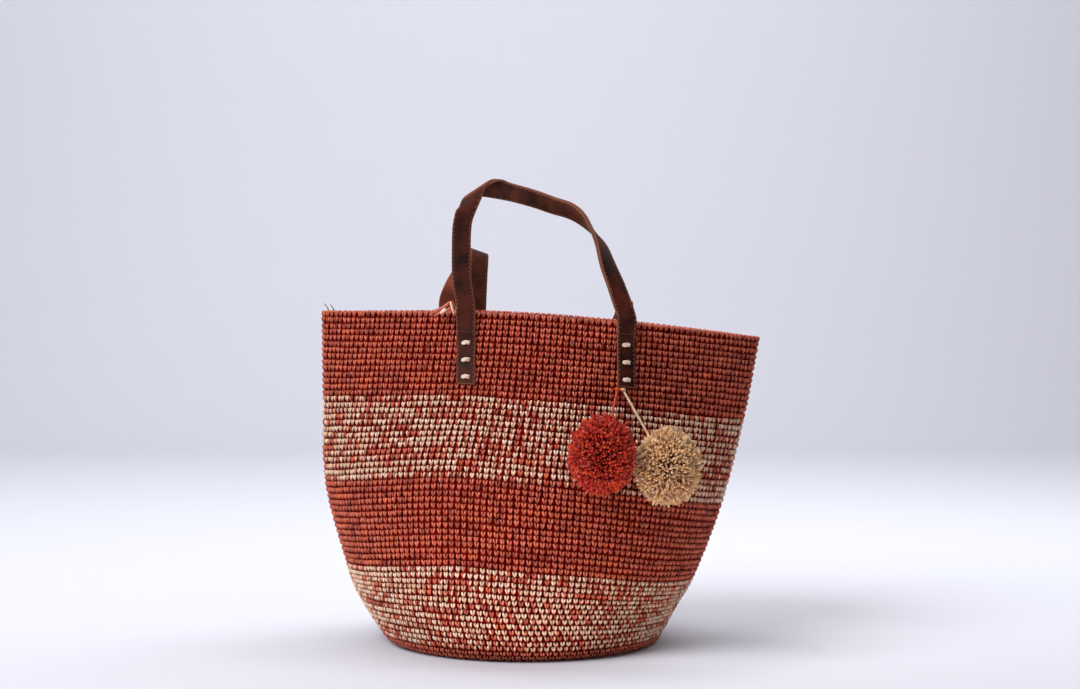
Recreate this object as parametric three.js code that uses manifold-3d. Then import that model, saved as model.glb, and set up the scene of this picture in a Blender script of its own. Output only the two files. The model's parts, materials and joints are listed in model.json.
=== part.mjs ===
// Raffia tote: a crocheted bag with a round base and a flattened oval mouth, two leather strap
// handles laced through its wall, and two yarn pompoms that hang on cords from one handle tab.
// Millimetres, +Z up. The front faces -Y, and the origin is the middle of the base's underside.
import * as THREE from "three";
import { mergeVertices } from "three/addons/utils/BufferGeometryUtils.js";
import Module from "manifold-3d";

const wasm = await Module();
wasm.setup();

// Driving dimensions of the crocheted body
const BASE_RADIUS = 122;
const WALL = 4.5;
const HEEL_WIDTH = 17; // rust rounds between the base and the lowest band, measured up the wall
const BAND_WIDTH = 78.6; // each of the four coloured bands, measured up the wall
const EDGING_WIDTH = 6; // the last round, measured up the wall
const BASE_CORNER = 90; // radius of the oval's ends at the base
const RIM_CORNER = 12; // radius of the folds at the two ends of the mouth
const CREST_X = -60; // where a round of crochet lies highest
const DIP_POWER = 1.6; // how the rounds fall away from that place
const RIDGE_HEIGHT = 9; // soft ridge that slants up the front
const RIDGE_SPREAD = 55;
const RIDGE_FOOT_X = -20;
const RIDGE_TOP_X = 95;

// Driving dimensions of the handles
const STRAP_WIDTH = 17.5;
const STRAP_THICKNESS = 2.2;
const LINING_THICKNESS = 1.5;
const TAB_LENGTHS = [68, 60]; // laced ends below the rim, left and right
const SEAM_HEIGHT = 48.5; // seam across each tab, above its foot
const SEAM_RAMP = 8; // length over which the tab settles onto the wall below that seam
const HINGE_RISE = 3; // fold line above the rim
const FRONT_LEGS = [-51.5, 92.5]; // where the legs cross the rim
const BACK_LEGS = [-46, 97];
const FOLD_RADIUS = 5.5; // where a strap turns over on itself
const LINING_SETBACK = 4; // lining stops short of the fold line
const LACES = [6.5, 22.4, 38.3]; // above the foot of the tab
const LACE_DIAMETER = 3.2;
const LACE_SPAN = 5.6; // between the two holes of one stitch
const LACE_BEND = 2;

// Driving dimensions of the pompoms
const POMPOM_HALF_WIDTH = 28;
const POMPOM_HALF_DEPTH = 30;
const POMPOM_HALF_HEIGHT = 33;
const CORD_DIAMETER = 2.2;
const KNOT_RADIUS = 2.4;
const RED_SHIFT = 13; // red pompom's centre, left of its knot
const RED_DROP = 73; // from the tab's foot down the wall to where the red pompom leans on it
const NATURAL_DROP = 73;

// Clearances
const FIT = 0.3; // between pieces that touch
const HOLE_FIT = 0.5; // round a lace
const LACE_FIT = 0.7; // between a lace and the inside of the wall, which is faceted
const HINGE_GAP = 0.6; // under the rounded end of a strap

// Mesh counts
const AROUND = 56;
const CROWDING = 0.6; // how much closer the columns stand at the folds of the mouth
const BAND_STEPS = 4;
const HEEL_STEPS = 3;
const THREAD_SIDES = 6; // of a lace and its hole
const CORD_SIDES = 8;
const CORD_STEPS = 6;

const BANDS = ["lower_mottled", "middle_rust", "upper_mottled", "top_rust"];
const WALL_LENGTH = HEEL_WIDTH + BANDS.length * BAND_WIDTH;
const TAB_FOOT = WALL_LENGTH - TAB_LENGTHS[1]; // of the right tabs, measured up the wall

// The body's form at seven rounds, as reach beyond the base radius to the left, right and front,
// and how far the round dips at its left and right ends.
const FORM = [
  { along: 0, left: 0, right: 0, depth: 0, dipLeft: 0, dipRight: 0 },
  { along: HEEL_WIDTH, left: 13, right: 9, depth: 13, dipLeft: 0, dipRight: 2 },
  { along: HEEL_WIDTH + BAND_WIDTH / 2, left: 36, right: 24, depth: 21, dipLeft: 4, dipRight: 15 },
  { along: HEEL_WIDTH + BAND_WIDTH, left: 47, right: 39, depth: 25, dipLeft: 14, dipRight: 29 },
  { along: HEEL_WIDTH + 2 * BAND_WIDTH, left: 67, right: 66, depth: 16, dipLeft: 15, dipRight: 37 },
  { along: HEEL_WIDTH + 3 * BAND_WIDTH, left: 69, right: 87, depth: -17, dipLeft: 5, dipRight: 28 },
  { along: WALL_LENGTH, left: 70, right: 102, depth: -39, dipLeft: 0, dipRight: 25 },
];

const COLOURS = {
  rust: 0x9a4433,
  mottled: 0xb9876c,
  leather: 0x4a2a22,
  lining: 0x6d3f2f,
  lace: 0xd9c3b0,
  red: 0x9a2a20,
  natural: 0xc29a6b,
};

const bag = new THREE.Group();

function addPiece(name, geometry, colour, roughness) {
  const material = new THREE.MeshStandardMaterial({ color: colour, roughness, metalness: 0 });
  const mesh = new THREE.Mesh(geometry, material);
  mesh.name = name;
  bag.add(mesh);
}

// Smooth curve through the FORM values of one key. The wall leaves the base level, so the three
// reaches start with a slope of one.
function formValue(key, along) {
  const last = FORM.length - 1;
  let k = 0;
  while (k < last - 1 && along > FORM[k + 1].along) k += 1;
  const slopeAt = (i) => {
    if (i === 0) return key.startsWith("dip") ? 0 : 1;
    const next = FORM[Math.min(i + 1, last)];
    const previous = FORM[i - 1];
    return (next[key] - previous[key]) / (next.along - previous.along);
  };
  const span = FORM[k + 1].along - FORM[k].along;
  const f = (along - FORM[k].along) / span;
  const f2 = f * f;
  const f3 = f2 * f;
  return (
    FORM[k][key] * (2 * f3 - 3 * f2 + 1) +
    slopeAt(k) * span * (f3 - 2 * f2 + f) +
    FORM[k + 1][key] * (3 * f2 - 2 * f3) +
    slopeAt(k + 1) * span * (f3 - f2)
  );
}

// Height of each round at its crest: the front wall keeps its length, so it climbs by what its
// change of depth leaves over.
const LEVELS = [0];
for (let i = 0; i < Math.ceil(WALL_LENGTH); i += 1) {
  const slope = formValue("depth", i + 1) - formValue("depth", i);
  LEVELS.push(LEVELS[i] + Math.sqrt(Math.max(0, 1 - slope * slope)));
}

function levelAt(along) {
  const i = Math.min(Math.max(Math.floor(along), 0), LEVELS.length - 2);
  return LEVELS[i] + (along - i) * (LEVELS[i + 1] - LEVELS[i]);
}

// Four-centre oval of half-width a, half-depth b and end radius r, at a share of its perimeter
// that starts at +X and runs towards +Y.
function ovalPoint(a, b, r, share) {
  const turn = share - Math.floor(share);
  const quarter = Math.floor(turn * 4);
  const part = turn * 4 - quarter;
  const forward = quarter % 2 === 0;
  const flank = ((a - r) ** 2 - (b - r) ** 2) / (2 * (b - r));
  const bigRadius = b + flank;
  const bigAngle = Math.asin((a - r) / (bigRadius - r));
  const endAngle = Math.PI / 2 - bigAngle;
  const length = (forward ? part : 1 - part) * (r * endAngle + bigRadius * bigAngle);
  let x;
  let y;
  if (length < r * endAngle) {
    x = a - r + r * Math.cos(length / r);
    y = r * Math.sin(length / r);
  } else {
    const angle = endAngle + (length - r * endAngle) / bigRadius;
    x = bigRadius * Math.cos(angle);
    y = bigRadius * Math.sin(angle) - flank;
  }
  return [quarter === 1 || quarter === 2 ? -x : x, quarter >= 2 ? -y : y];
}

// A point of the wall's outer face: share of the way round, and distance up the wall.
function wallPoint(share, along) {
  const left = BASE_RADIUS + formValue("left", along);
  const right = BASE_RADIUS + formValue("right", along);
  const depth = BASE_RADIUS + formValue("depth", along);
  const height = along / WALL_LENGTH;
  const corner = BASE_CORNER + (RIM_CORNER - BASE_CORNER) * height;
  const [ovalX, ovalY] = ovalPoint((left + right) / 2, depth, corner, share);
  const x = ovalX + (right - left) / 2;
  const ridgeX = RIDGE_FOOT_X + (RIDGE_TOP_X - RIDGE_FOOT_X) * height * height;
  const ridge = RIDGE_HEIGHT * Math.min(1, 2 * height) * Math.exp(-(((x - ridgeX) / RIDGE_SPREAD) ** 2));
  const facing = Math.max(0, -ovalY / depth) ** 2;
  const dipRight = Math.max(0, (x - CREST_X) / (right - CREST_X)) ** DIP_POWER;
  const dipLeft = Math.max(0, (CREST_X - x) / (CREST_X + left)) ** DIP_POWER;
  const z =
    levelAt(along) - formValue("dipRight", along) * dipRight - formValue("dipLeft", along) * dipLeft;
  return new THREE.Vector3(x, ovalY - ridge * facing, z);
}

// The wall's outer face with its frame: out of the wall, up it, and level along it towards +X.
function wallFrame(share, along) {
  const delta = 0.5;
  const low = Math.max(along - delta, 0);
  const high = Math.min(along + delta, WALL_LENGTH);
  const up = wallPoint(share, high).sub(wallPoint(share, low)).normalize();
  const step = delta / 1000;
  const round = wallPoint(share + step, along).sub(wallPoint(share - step, along)).normalize();
  const out = round.clone().cross(up).normalize();
  const level = up.clone().cross(out).normalize();
  if (level.x < 0) level.negate();
  return { point: wallPoint(share, along), out, up, level };
}

// The place on the front or back wall that has a given x.
function wallAtX(front, x, along) {
  let low = front ? 0.5 : 0;
  let high = front ? 1 : 0.5;
  for (let i = 0; i < 40; i += 1) {
    const middle = (low + high) / 2;
    const below = wallPoint(middle, along).x < x;
    if (below === front) low = middle;
    else high = middle;
  }
  return wallFrame((low + high) / 2, along);
}

function offset(frame, distance) {
  return frame.point.clone().addScaledVector(frame.out, distance);
}

// Skin over rings of points, each ring a closed loop. The rings join up into a closed tube, or
// the first and last are capped. The faces are turned outwards. From the column turnFrom on, the
// quads are split along their other diagonal, so that the two faces of a ribbon match.
function skin(rings, joined, turnFrom = Infinity) {
  const count = rings[0].length;
  const triangles = [];
  const stretches = joined ? rings.length : rings.length - 1;
  for (let i = 0; i < stretches; i += 1) {
    const a = i * count;
    const b = ((i + 1) % rings.length) * count;
    for (let j = 0; j < count; j += 1) {
      const k = (j + 1) % count;
      if (j < turnFrom) triangles.push([a + j, b + j, b + k], [a + j, b + k, a + k]);
      else triangles.push([a + j, b + j, a + k], [b + j, b + k, a + k]);
    }
  }
  if (!joined) {
    const end = (rings.length - 1) * count;
    for (let j = 1; j < count - 1; j += 1) {
      triangles.push([0, j, j + 1], [end, end + j + 1, end + j]);
    }
  }
  const points = rings.flat();
  let volume = 0;
  for (const [a, b, c] of triangles) {
    volume += points[a].dot(points[b].clone().cross(points[c]));
  }
  if (volume < 0) {
    for (const triangle of triangles) triangle.reverse();
  }
  const geometry = new THREE.BufferGeometry().setFromPoints(points);
  geometry.setIndex(triangles.flat());
  geometry.computeVertexNormals();
  return geometry;
}

// Boolean cut
function toSolid(geometry) {
  const bare = geometry.clone();
  bare.deleteAttribute("normal");
  bare.deleteAttribute("uv");
  const merged = mergeVertices(bare);
  const vertProperties = new Float32Array(merged.attributes.position.array);
  const triVerts = new Uint32Array(merged.index.array);
  return new wasm.Manifold(new wasm.Mesh({ numProp: 3, vertProperties, triVerts }));
}

function cutHoles(geometry, holes) {
  let solid = toSolid(geometry);
  for (const hole of holes) solid = solid.subtract(toSolid(hole));
  const mesh = solid.getMesh();
  const result = new THREE.BufferGeometry();
  result.setAttribute("position", new THREE.BufferAttribute(mesh.vertProperties, 3));
  result.setIndex(new THREE.BufferAttribute(mesh.triVerts, 1));
  result.computeVertexNormals();
  return result;
}

// Crocheted body
function columnShares() {
  return Array.from({ length: AROUND }, (_, i) => {
    const even = i / AROUND;
    return even - (CROWDING * Math.sin(4 * Math.PI * even)) / (4 * Math.PI);
  });
}

function bandGeometry(from, to, steps, topOf) {
  const rings = columnShares().map((share) => {
    const outer = [];
    const inner = [];
    for (let k = 0; k <= steps; k += 1) {
      const frame = wallFrame(share, from + ((to - from) * k) / steps);
      outer.push(frame.point);
      inner.unshift(offset(frame, -WALL));
    }
    return [...outer, ...topOf(share, to), ...inner];
  });
  return skin(rings, true);
}

const plainTop = () => [];

// The edging's top is half round, from the outer face over to the inner one.
function roundedTop(share, to) {
  const frame = wallFrame(share, to);
  return [45, 90, 135].map((degrees) => {
    const angle = THREE.MathUtils.degToRad(degrees);
    const depth = (-WALL / 2) * (1 - Math.cos(angle));
    return offset(frame, depth).addScaledVector(frame.up, (WALL / 2) * Math.sin(angle));
  });
}

// The base fills the heel's foot, its edge cut to the same slant.
function baseGeometry() {
  const inset = (point, z) => {
    const share = 1 - FIT / Math.hypot(point.x, point.y);
    return new THREE.Vector3(point.x * share, point.y * share, z);
  };
  const foot = columnShares().map((share) => wallFrame(share, 0));
  const underside = foot.map((frame) => inset(frame.point, 0));
  const inside = foot.map((frame) => inset(offset(frame, -WALL), WALL));
  return skin([underside, inside], false);
}

// Handles. Each side names its legs, the way its wall faces and the sense in which its straps
// count as running left to right.
function makeSide(name, front, legs) {
  const atRim = legs.map((x) => wallAtX(front, x, WALL_LENGTH));
  const roughAxis = atRim[1].point.clone().sub(atRim[0].point).normalize();
  const layers = FIT + LINING_THICKNESS + FIT + STRAP_THICKNESS / 2;
  const standOff = atRim.map((frame) => (STRAP_WIDTH / 2) * Math.abs(roughAxis.dot(frame.out)));
  const hinges = atRim.map((frame, i) =>
    offset(frame, layers + standOff[i]).addScaledVector(frame.up, HINGE_RISE),
  );
  const axis = hinges[1].clone().sub(hinges[0]).normalize();
  const facing = front ? 1 : -1;
  return { name, front, legs, atRim, standOff, hinges, axis, facing };
}

// Ribbon of leather over stations of a middle point and the vectors across and along it, between
// two heights above the surface that they span. A station may thin the leather to its middle.
function ribbonGeometry(stations, low, high) {
  const rings = stations.map((station) => {
    const out = station.across.clone().cross(station.along).normalize();
    const centre = (low + high) / 2;
    const half = ((high - low) / 2) * (station.thin ?? 1);
    const corner = (side, height) =>
      station.middle.clone().addScaledVector(station.across, side).addScaledVector(out, height);
    const under = [-1, 0, 1].map((side) => corner(side, centre - half));
    const over = [1, 0, -1].map((side) => corner(side, centre + half));
    return [...under, ...over];
  });
  return skin(rings, false, 3);
}

// Stations of a laced end, at given distances below the rim and then just below the fold line
function tabStations(side, leg, belows) {
  const stations = belows.map((below) => {
    const frame = wallAtX(side.front, side.legs[leg], WALL_LENGTH - below);
    const lift = Math.max(0, 1 - below / (TAB_LENGTHS[leg] - SEAM_HEIGHT));
    const level = frame.level.clone().lerp(side.axis, lift).normalize();
    return {
      middle: offset(frame, side.standOff[leg] * lift),
      across: level.multiplyScalar((side.facing * STRAP_WIDTH) / 2),
      along: frame.up,
      below,
    };
  });
  const { out, up } = side.atRim[leg];
  const layers = FIT + LINING_THICKNESS + FIT + STRAP_THICKNESS / 2;
  const drop = STRAP_THICKNESS / 2 + HINGE_GAP;
  stations.push({
    middle: side.hinges[leg].clone().addScaledVector(out, -layers).addScaledVector(up, -drop),
    across: side.axis.clone().multiplyScalar((side.facing * STRAP_WIDTH) / 2),
    along: up,
    below: 0,
  });
  return stations;
}

function laceFrames(side, leg) {
  return LACES.map((height) => {
    return wallAtX(side.front, side.legs[leg], WALL_LENGTH - TAB_LENGTHS[leg] + height);
  });
}

// The two holes of one lacing stitch, square to the wall
function laceHoles(frame) {
  const radius = LACE_DIAMETER / 2 + HOLE_FIT;
  const reach = WALL + STRAP_THICKNESS + LINING_THICKNESS;
  return [-1, 1].map((sign) => {
    const hole = new THREE.CylinderGeometry(radius, radius, 3 * reach, THREAD_SIDES);
    const turn = new THREE.Quaternion().setFromUnitVectors(new THREE.Vector3(0, 1, 0), frame.out);
    const place = frame.point.clone().addScaledVector(frame.level, (sign * LACE_SPAN) / 2);
    return hole.applyQuaternion(turn).translate(place.x, place.y, place.z);
  });
}

// One stitch: a closed loop of lace, through both holes and round the wall and the tab.
function laceGeometry(frame) {
  const radius = LACE_DIAMETER / 2;
  const outside = FIT + STRAP_THICKNESS + FIT + radius;
  const inside = -(WALL + LACE_FIT + radius);
  const path = [];
  const corners = [
    [1, 1],
    [-1, 1],
    [-1, -1],
    [1, -1],
  ];
  corners.forEach(([sideways, outwards], i) => {
    const x = sideways * (LACE_SPAN / 2 - LACE_BEND);
    const y = outwards > 0 ? outside - LACE_BEND : inside + LACE_BEND;
    for (const step of [0, 0.5, 1]) {
      const angle = ((i + step) * Math.PI) / 2;
      path.push({ x: x + LACE_BEND * Math.cos(angle), y: y + LACE_BEND * Math.sin(angle), angle });
    }
  });
  const rings = path.map(({ x, y, angle }) => {
    const away = frame.level.clone().multiplyScalar(Math.cos(angle));
    away.addScaledVector(frame.out, Math.sin(angle));
    const centre = offset(frame, y).addScaledVector(frame.level, x);
    return Array.from({ length: THREAD_SIDES }, (_, k) => {
      const roll = (2 * Math.PI * k) / THREAD_SIDES;
      return centre
        .clone()
        .addScaledVector(away, radius * Math.cos(roll))
        .addScaledVector(frame.up, radius * Math.sin(roll));
    });
  });
  return skin(rings, true);
}

// Free straps. A route gives its places as the share of the way from the left fold line to the
// right one, the distance back from it and the height above it, with the strap's roll: at 0 the
// strap stands on edge with its outer face to the back, and at 180 it lies the other way round.
// A fold turns the strap over backwards on a slanting crease.
const FRONT_ROUTE = [
  { share: -0.028, back: 7, up: 25, roll: 180 },
  { share: -0.033, back: 14.5, up: 51, roll: 180 },
  { share: -0.03, back: 21, up: 73, roll: 180 },
  { share: -0.016, back: 24.5, up: 84.5, roll: 180 },
  { share: 0.026, back: 29, up: 99, fold: { crease: 33.6, lean: 17 } },
  { share: 0.277, back: 43, up: 109, roll: 26 },
  { share: 0.438, back: 45, up: 104, roll: 33 },
  { share: 0.542, back: 44, up: 99.5, roll: 36 },
  { share: 0.657, back: 38.5, up: 95, roll: 43 },
  { share: 0.733, back: 33, up: 88, roll: 62 },
  { share: 0.796, back: 26, up: 77, roll: 90 },
  { share: 0.843, back: 21, up: 66, roll: 115 },
  { share: 0.888, back: 14, up: 46, roll: 138 },
  { share: 0.932, back: 8.5, up: 29.5, roll: 150 },
  { share: 0.967, back: 4, up: 14.5, roll: 160 },
];
const BACK_ROUTE = [
  { share: 0.004, back: 0, up: 16, roll: 0 },
  { share: 0.01, back: 0, up: 34, roll: 0 },
  { share: 0.014, back: 0, up: 46, fold: { crease: -20, lean: 0 } },
  { share: -0.085, back: 14, up: 37, roll: 180 },
  { share: -0.165, back: 22, up: 19, roll: 180 },
  { share: -0.215, back: 30, up: -1, roll: 180 },
  { share: -0.19, back: 38, up: -18, roll: 200 },
  { share: -0.03, back: 46, up: -28, roll: 255 },
  { share: 0.32, back: 48, up: -30, roll: 270 },
  { share: 0.7, back: 47, up: -27, roll: 270 },
  { share: 0.93, back: 38, up: -16, roll: 225 },
  { share: 1, back: 26, up: 0, across: [1, 0, 0] },
  { share: 1, back: 15, up: 10, across: [1, 0, 0] },
  { share: 1, back: 5, up: 11, across: [1, 0, 0] },
];

function foldStations(place, { crease, lean }, facing) {
  const slant = THREE.MathUtils.degToRad(crease);
  const angle = THREE.MathUtils.degToRad(crease + lean);
  const line = new THREE.Vector3(Math.cos(slant), 0, Math.sin(slant));
  const rise = new THREE.Vector3(-Math.sin(slant), 0, Math.cos(slant));
  const across = line.clone().multiplyScalar((facing * STRAP_WIDTH) / 2 / Math.cos(angle));
  return [0, 45, 90, 135, 180].map((degrees) => {
    const turn = THREE.MathUtils.degToRad(degrees);
    const middle = place
      .clone()
      .addScaledVector(line, FOLD_RADIUS * turn * Math.tan(angle))
      .addScaledVector(rise, FOLD_RADIUS * Math.sin(turn));
    middle.y += FOLD_RADIUS * (1 - Math.cos(turn));
    return { middle, across };
  });
}

function routeStations(side, route) {
  const [left, right] = side.hinges;
  const edge = side.axis.clone().multiplyScalar((side.facing * STRAP_WIDTH) / 2);
  const placed = route.map((spot) => {
    const place = left.clone().lerp(right, spot.share);
    place.y += spot.back;
    place.z += spot.up;
    return { ...spot, place };
  });
  const stations = [{ middle: left, across: edge }];
  placed.forEach((spot, i) => {
    if (spot.fold) {
      stations.push(...foldStations(spot.place, spot.fold, side.facing));
      return;
    }
    const before = i > 0 ? placed[i - 1].place : left;
    const after = i < placed.length - 1 ? placed[i + 1].place : right;
    const along = after.clone().sub(before).normalize();
    const roll = THREE.MathUtils.degToRad(spot.roll ?? 0);
    const across = spot.across
      ? new THREE.Vector3(...spot.across)
      : new THREE.Vector3(-along.z * Math.cos(roll), -Math.sin(roll), along.x * Math.cos(roll));
    across.addScaledVector(along, -across.dot(along)).setLength(STRAP_WIDTH / 2);
    stations.push({ middle: spot.place, across });
  });
  stations.push({ middle: right, across: edge.clone().negate() });
  return stations;
}

// Fine stations along a smooth curve through the coarse ones
function smoothStations(stations, perStretch) {
  const middles = new THREE.CatmullRomCurve3(stations.map((s) => s.middle));
  const across = new THREE.CatmullRomCurve3(stations.map((s) => s.across));
  const count = (stations.length - 1) * perStretch;
  return Array.from({ length: count + 1 }, (_, i) => ({
    middle: middles.getPoint(i / count),
    across: across.getPoint(i / count),
    along: middles.getTangent(i / count),
  }));
}

// A strap's ends are half round about the fold line, so that it turns there without touching.
function roundEnds(stations) {
  const radius = STRAP_THICKNESS / 2;
  const end = (inner, outer) => {
    const along = outer.middle.clone().sub(inner.middle).normalize();
    return [30, 60, 80].map((degrees) => {
      const angle = THREE.MathUtils.degToRad(degrees);
      const middle = outer.middle.clone().addScaledVector(along, radius * Math.sin(angle));
      return { ...outer, middle, thin: Math.cos(angle) };
    });
  };
  const first = end(stations[1], stations[0]).reverse();
  const last = end(stations.at(-2), stations.at(-1));
  return [...first, ...stations, ...last];
}

function addHandle(side, route) {
  const stations = smoothStations(routeStations(side, route), 2);
  const half = STRAP_THICKNESS / 2;
  addPiece(`${side.name}_strap`, ribbonGeometry(roundEnds(stations), -half, half), COLOURS.leather, 0.55);
  const clear = (station) =>
    side.hinges.every((hinge) => station.middle.distanceTo(hinge) > LINING_SETBACK);
  const lining = stations.filter(clear);
  const outside = -half - FIT;
  const liningGeometry = ribbonGeometry(lining, outside - LINING_THICKNESS, outside);
  addPiece(`${side.name}_strap_lining`, liningGeometry, COLOURS.lining, 0.65);
}

// A laced end: the outer strap lies on the wall at its foot and over the lining's end above the seam.
function addTab(side, leg, hand) {
  const name = `${side.name}_${hand}`;
  const seam = TAB_LENGTHS[leg] - SEAM_HEIGHT;
  const sewn = [1, 0.8, 0.6, 0.4, 0.2, 0].map((share) => share * seam);
  const laced = [1, 0.75, 0.5, 0.25, 0].map(
    (share) => seam + SEAM_RAMP + share * (SEAM_HEIGHT - SEAM_RAMP),
  );
  const tab = tabStations(side, leg, [...laced, ...sewn]).map((station) => {
    const out = station.across.clone().cross(station.along).normalize();
    const overLining = station.below > seam ? 0 : FIT + LINING_THICKNESS;
    return { ...station, middle: station.middle.clone().addScaledVector(out, overLining) };
  });
  const frames = laceFrames(side, leg);
  const tabGeometry = ribbonGeometry(tab, FIT, FIT + STRAP_THICKNESS);
  const endGeometry = ribbonGeometry(tabStations(side, leg, sewn), FIT, FIT + LINING_THICKNESS);
  addPiece(`${name}_tab`, cutHoles(tabGeometry, frames.flatMap(laceHoles)), COLOURS.leather, 0.55);
  addPiece(`${name}_lining_end`, endGeometry, COLOURS.lining, 0.65);
  frames.forEach((frame, i) => {
    addPiece(`${name}_lace_${i + 1}`, laceGeometry(frame), COLOURS.lace, 0.8);
  });
}

// Pompoms
function ellipsoidReach(direction) {
  return Math.hypot(
    POMPOM_HALF_WIDTH * direction.x,
    POMPOM_HALF_DEPTH * direction.y,
    POMPOM_HALF_HEIGHT * direction.z,
  );
}

function ellipsoidRadius(direction) {
  return (
    1 /
    Math.hypot(
      direction.x / POMPOM_HALF_WIDTH,
      direction.y / POMPOM_HALF_DEPTH,
      direction.z / POMPOM_HALF_HEIGHT,
    )
  );
}

// The centre of a pompom that leans on the front wall with its centre at a given x
function pompomCentre(x, along) {
  let wallX = x;
  let centre;
  for (let i = 0; i < 20; i += 1) {
    const frame = wallAtX(true, wallX, along);
    centre = offset(frame, ellipsoidReach(frame.out) + FIT);
    wallX += x - centre.x;
  }
  return centre;
}

function knotCentre(x) {
  const clear = KNOT_RADIUS + FIT;
  return offset(wallAtX(true, x, TAB_FOOT - clear), clear);
}

function cordGeometry(from, to) {
  const along = to.clone().sub(from).normalize();
  const start = from.clone().addScaledVector(along, KNOT_RADIUS + FIT);
  const end = to.clone().addScaledVector(along, -ellipsoidRadius(along) - FIT);
  const section = Array.from({ length: CORD_SIDES }, (_, k) => {
    const angle = (2 * Math.PI * k) / CORD_SIDES;
    return new THREE.Vector2(Math.cos(angle), Math.sin(angle)).multiplyScalar(CORD_DIAMETER / 2);
  });
  return new THREE.ExtrudeGeometry(new THREE.Shape(section), {
    extrudePath: new THREE.LineCurve3(start, end),
    steps: CORD_STEPS,
    bevelEnabled: false,
  });
}

function addPompom(name, knot, centre, colour) {
  const knotGeometry = new THREE.IcosahedronGeometry(KNOT_RADIUS, 1).translate(knot.x, knot.y, knot.z);
  addPiece(`${name}_knot`, mergeVertices(knotGeometry.deleteAttribute("uv")), colour, 0.9);
  addPiece(`${name}_cord`, cordGeometry(knot, centre), colour, 0.9);
  const ball = new THREE.SphereGeometry(1, 20, 12)
    .scale(POMPOM_HALF_WIDTH, POMPOM_HALF_DEPTH, POMPOM_HALF_HEIGHT)
    .translate(centre.x, centre.y, centre.z);
  addPiece(`${name}_pompom`, ball, colour, 0.95);
}

// Assembly
const front = makeSide("front", true, FRONT_LEGS);
const back = makeSide("back", false, BACK_LEGS);

addPiece("base_disc", baseGeometry(), COLOURS.rust, 0.9);
addPiece("heel_band", bandGeometry(0, HEEL_WIDTH - FIT / 2, HEEL_STEPS, plainTop), COLOURS.rust, 0.9);
const edgingFoot = WALL_LENGTH - EDGING_WIDTH;
const wallHoles = [front, back].flatMap((side) => {
  return [0, 1].flatMap((leg) => laceFrames(side, leg).flatMap(laceHoles));
});
BANDS.forEach((name, i) => {
  const top = i === BANDS.length - 1;
  const foot = HEEL_WIDTH + i * BAND_WIDTH + FIT / 2;
  const head = (top ? edgingFoot : HEEL_WIDTH + (i + 1) * BAND_WIDTH) - FIT / 2;
  const band = bandGeometry(foot, head, BAND_STEPS, plainTop);
  const colour = name.endsWith("rust") ? COLOURS.rust : COLOURS.mottled;
  addPiece(`${name}_band`, top ? cutHoles(band, wallHoles) : band, colour, 0.9);
});
const edging = bandGeometry(edgingFoot + FIT / 2, WALL_LENGTH - WALL / 2, 1, roundedTop);
addPiece("rim_edging", edging, COLOURS.rust, 0.9);

for (const side of [front, back]) {
  addTab(side, 0, "left");
  addTab(side, 1, "right");
}
addHandle(front, FRONT_ROUTE);
addHandle(back, BACK_ROUTE);

const redKnotX = FRONT_LEGS[1] - STRAP_WIDTH / 2;
const naturalKnotX = redKnotX + 2 * KNOT_RADIUS + FIT;
const redX = redKnotX - RED_SHIFT;
const naturalX = redX + 2 * POMPOM_HALF_WIDTH + FIT;
addPompom("red", knotCentre(redKnotX), pompomCentre(redX, TAB_FOOT - RED_DROP), COLOURS.red);
const naturalCentre = pompomCentre(naturalX, TAB_FOOT - NATURAL_DROP);
addPompom("natural", knotCentre(naturalKnotX), naturalCentre, COLOURS.natural);

export default bag;
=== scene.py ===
"""Looks of a crocheted raffia tote with laced leather handles and two yarn pompoms.

Metres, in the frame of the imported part: +Z up, the front towards -Y. The wall is one surface,
wall(share, along): share of the way round from +X towards +Y, and distance up from the base's edge.
Each crochet stitch is a pair of yarn legs laid on that surface.
"""
import json
import math

import bpy
import numpy as np
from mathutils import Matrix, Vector


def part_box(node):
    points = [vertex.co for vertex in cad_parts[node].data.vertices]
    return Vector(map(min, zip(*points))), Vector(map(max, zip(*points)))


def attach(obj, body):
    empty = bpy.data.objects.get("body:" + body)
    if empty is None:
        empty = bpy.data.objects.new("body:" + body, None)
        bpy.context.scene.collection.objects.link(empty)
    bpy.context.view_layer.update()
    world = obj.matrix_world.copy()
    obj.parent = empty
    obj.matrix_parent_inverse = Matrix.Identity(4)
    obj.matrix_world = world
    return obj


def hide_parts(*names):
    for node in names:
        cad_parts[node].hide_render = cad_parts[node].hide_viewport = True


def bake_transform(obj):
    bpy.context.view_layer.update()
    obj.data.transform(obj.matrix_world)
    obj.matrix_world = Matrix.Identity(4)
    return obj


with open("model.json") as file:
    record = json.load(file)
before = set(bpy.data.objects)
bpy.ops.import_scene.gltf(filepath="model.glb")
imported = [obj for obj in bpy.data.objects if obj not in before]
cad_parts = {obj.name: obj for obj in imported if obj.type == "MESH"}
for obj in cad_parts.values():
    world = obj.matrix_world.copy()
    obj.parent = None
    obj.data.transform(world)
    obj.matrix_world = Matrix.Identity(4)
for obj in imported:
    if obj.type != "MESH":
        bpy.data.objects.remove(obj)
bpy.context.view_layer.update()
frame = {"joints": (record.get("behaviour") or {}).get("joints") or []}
rng = np.random.default_rng(11)
scene = bpy.context.scene
MM = 0.001
TURN = 2 * np.pi
UV_MAP = "OFBake"

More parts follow.
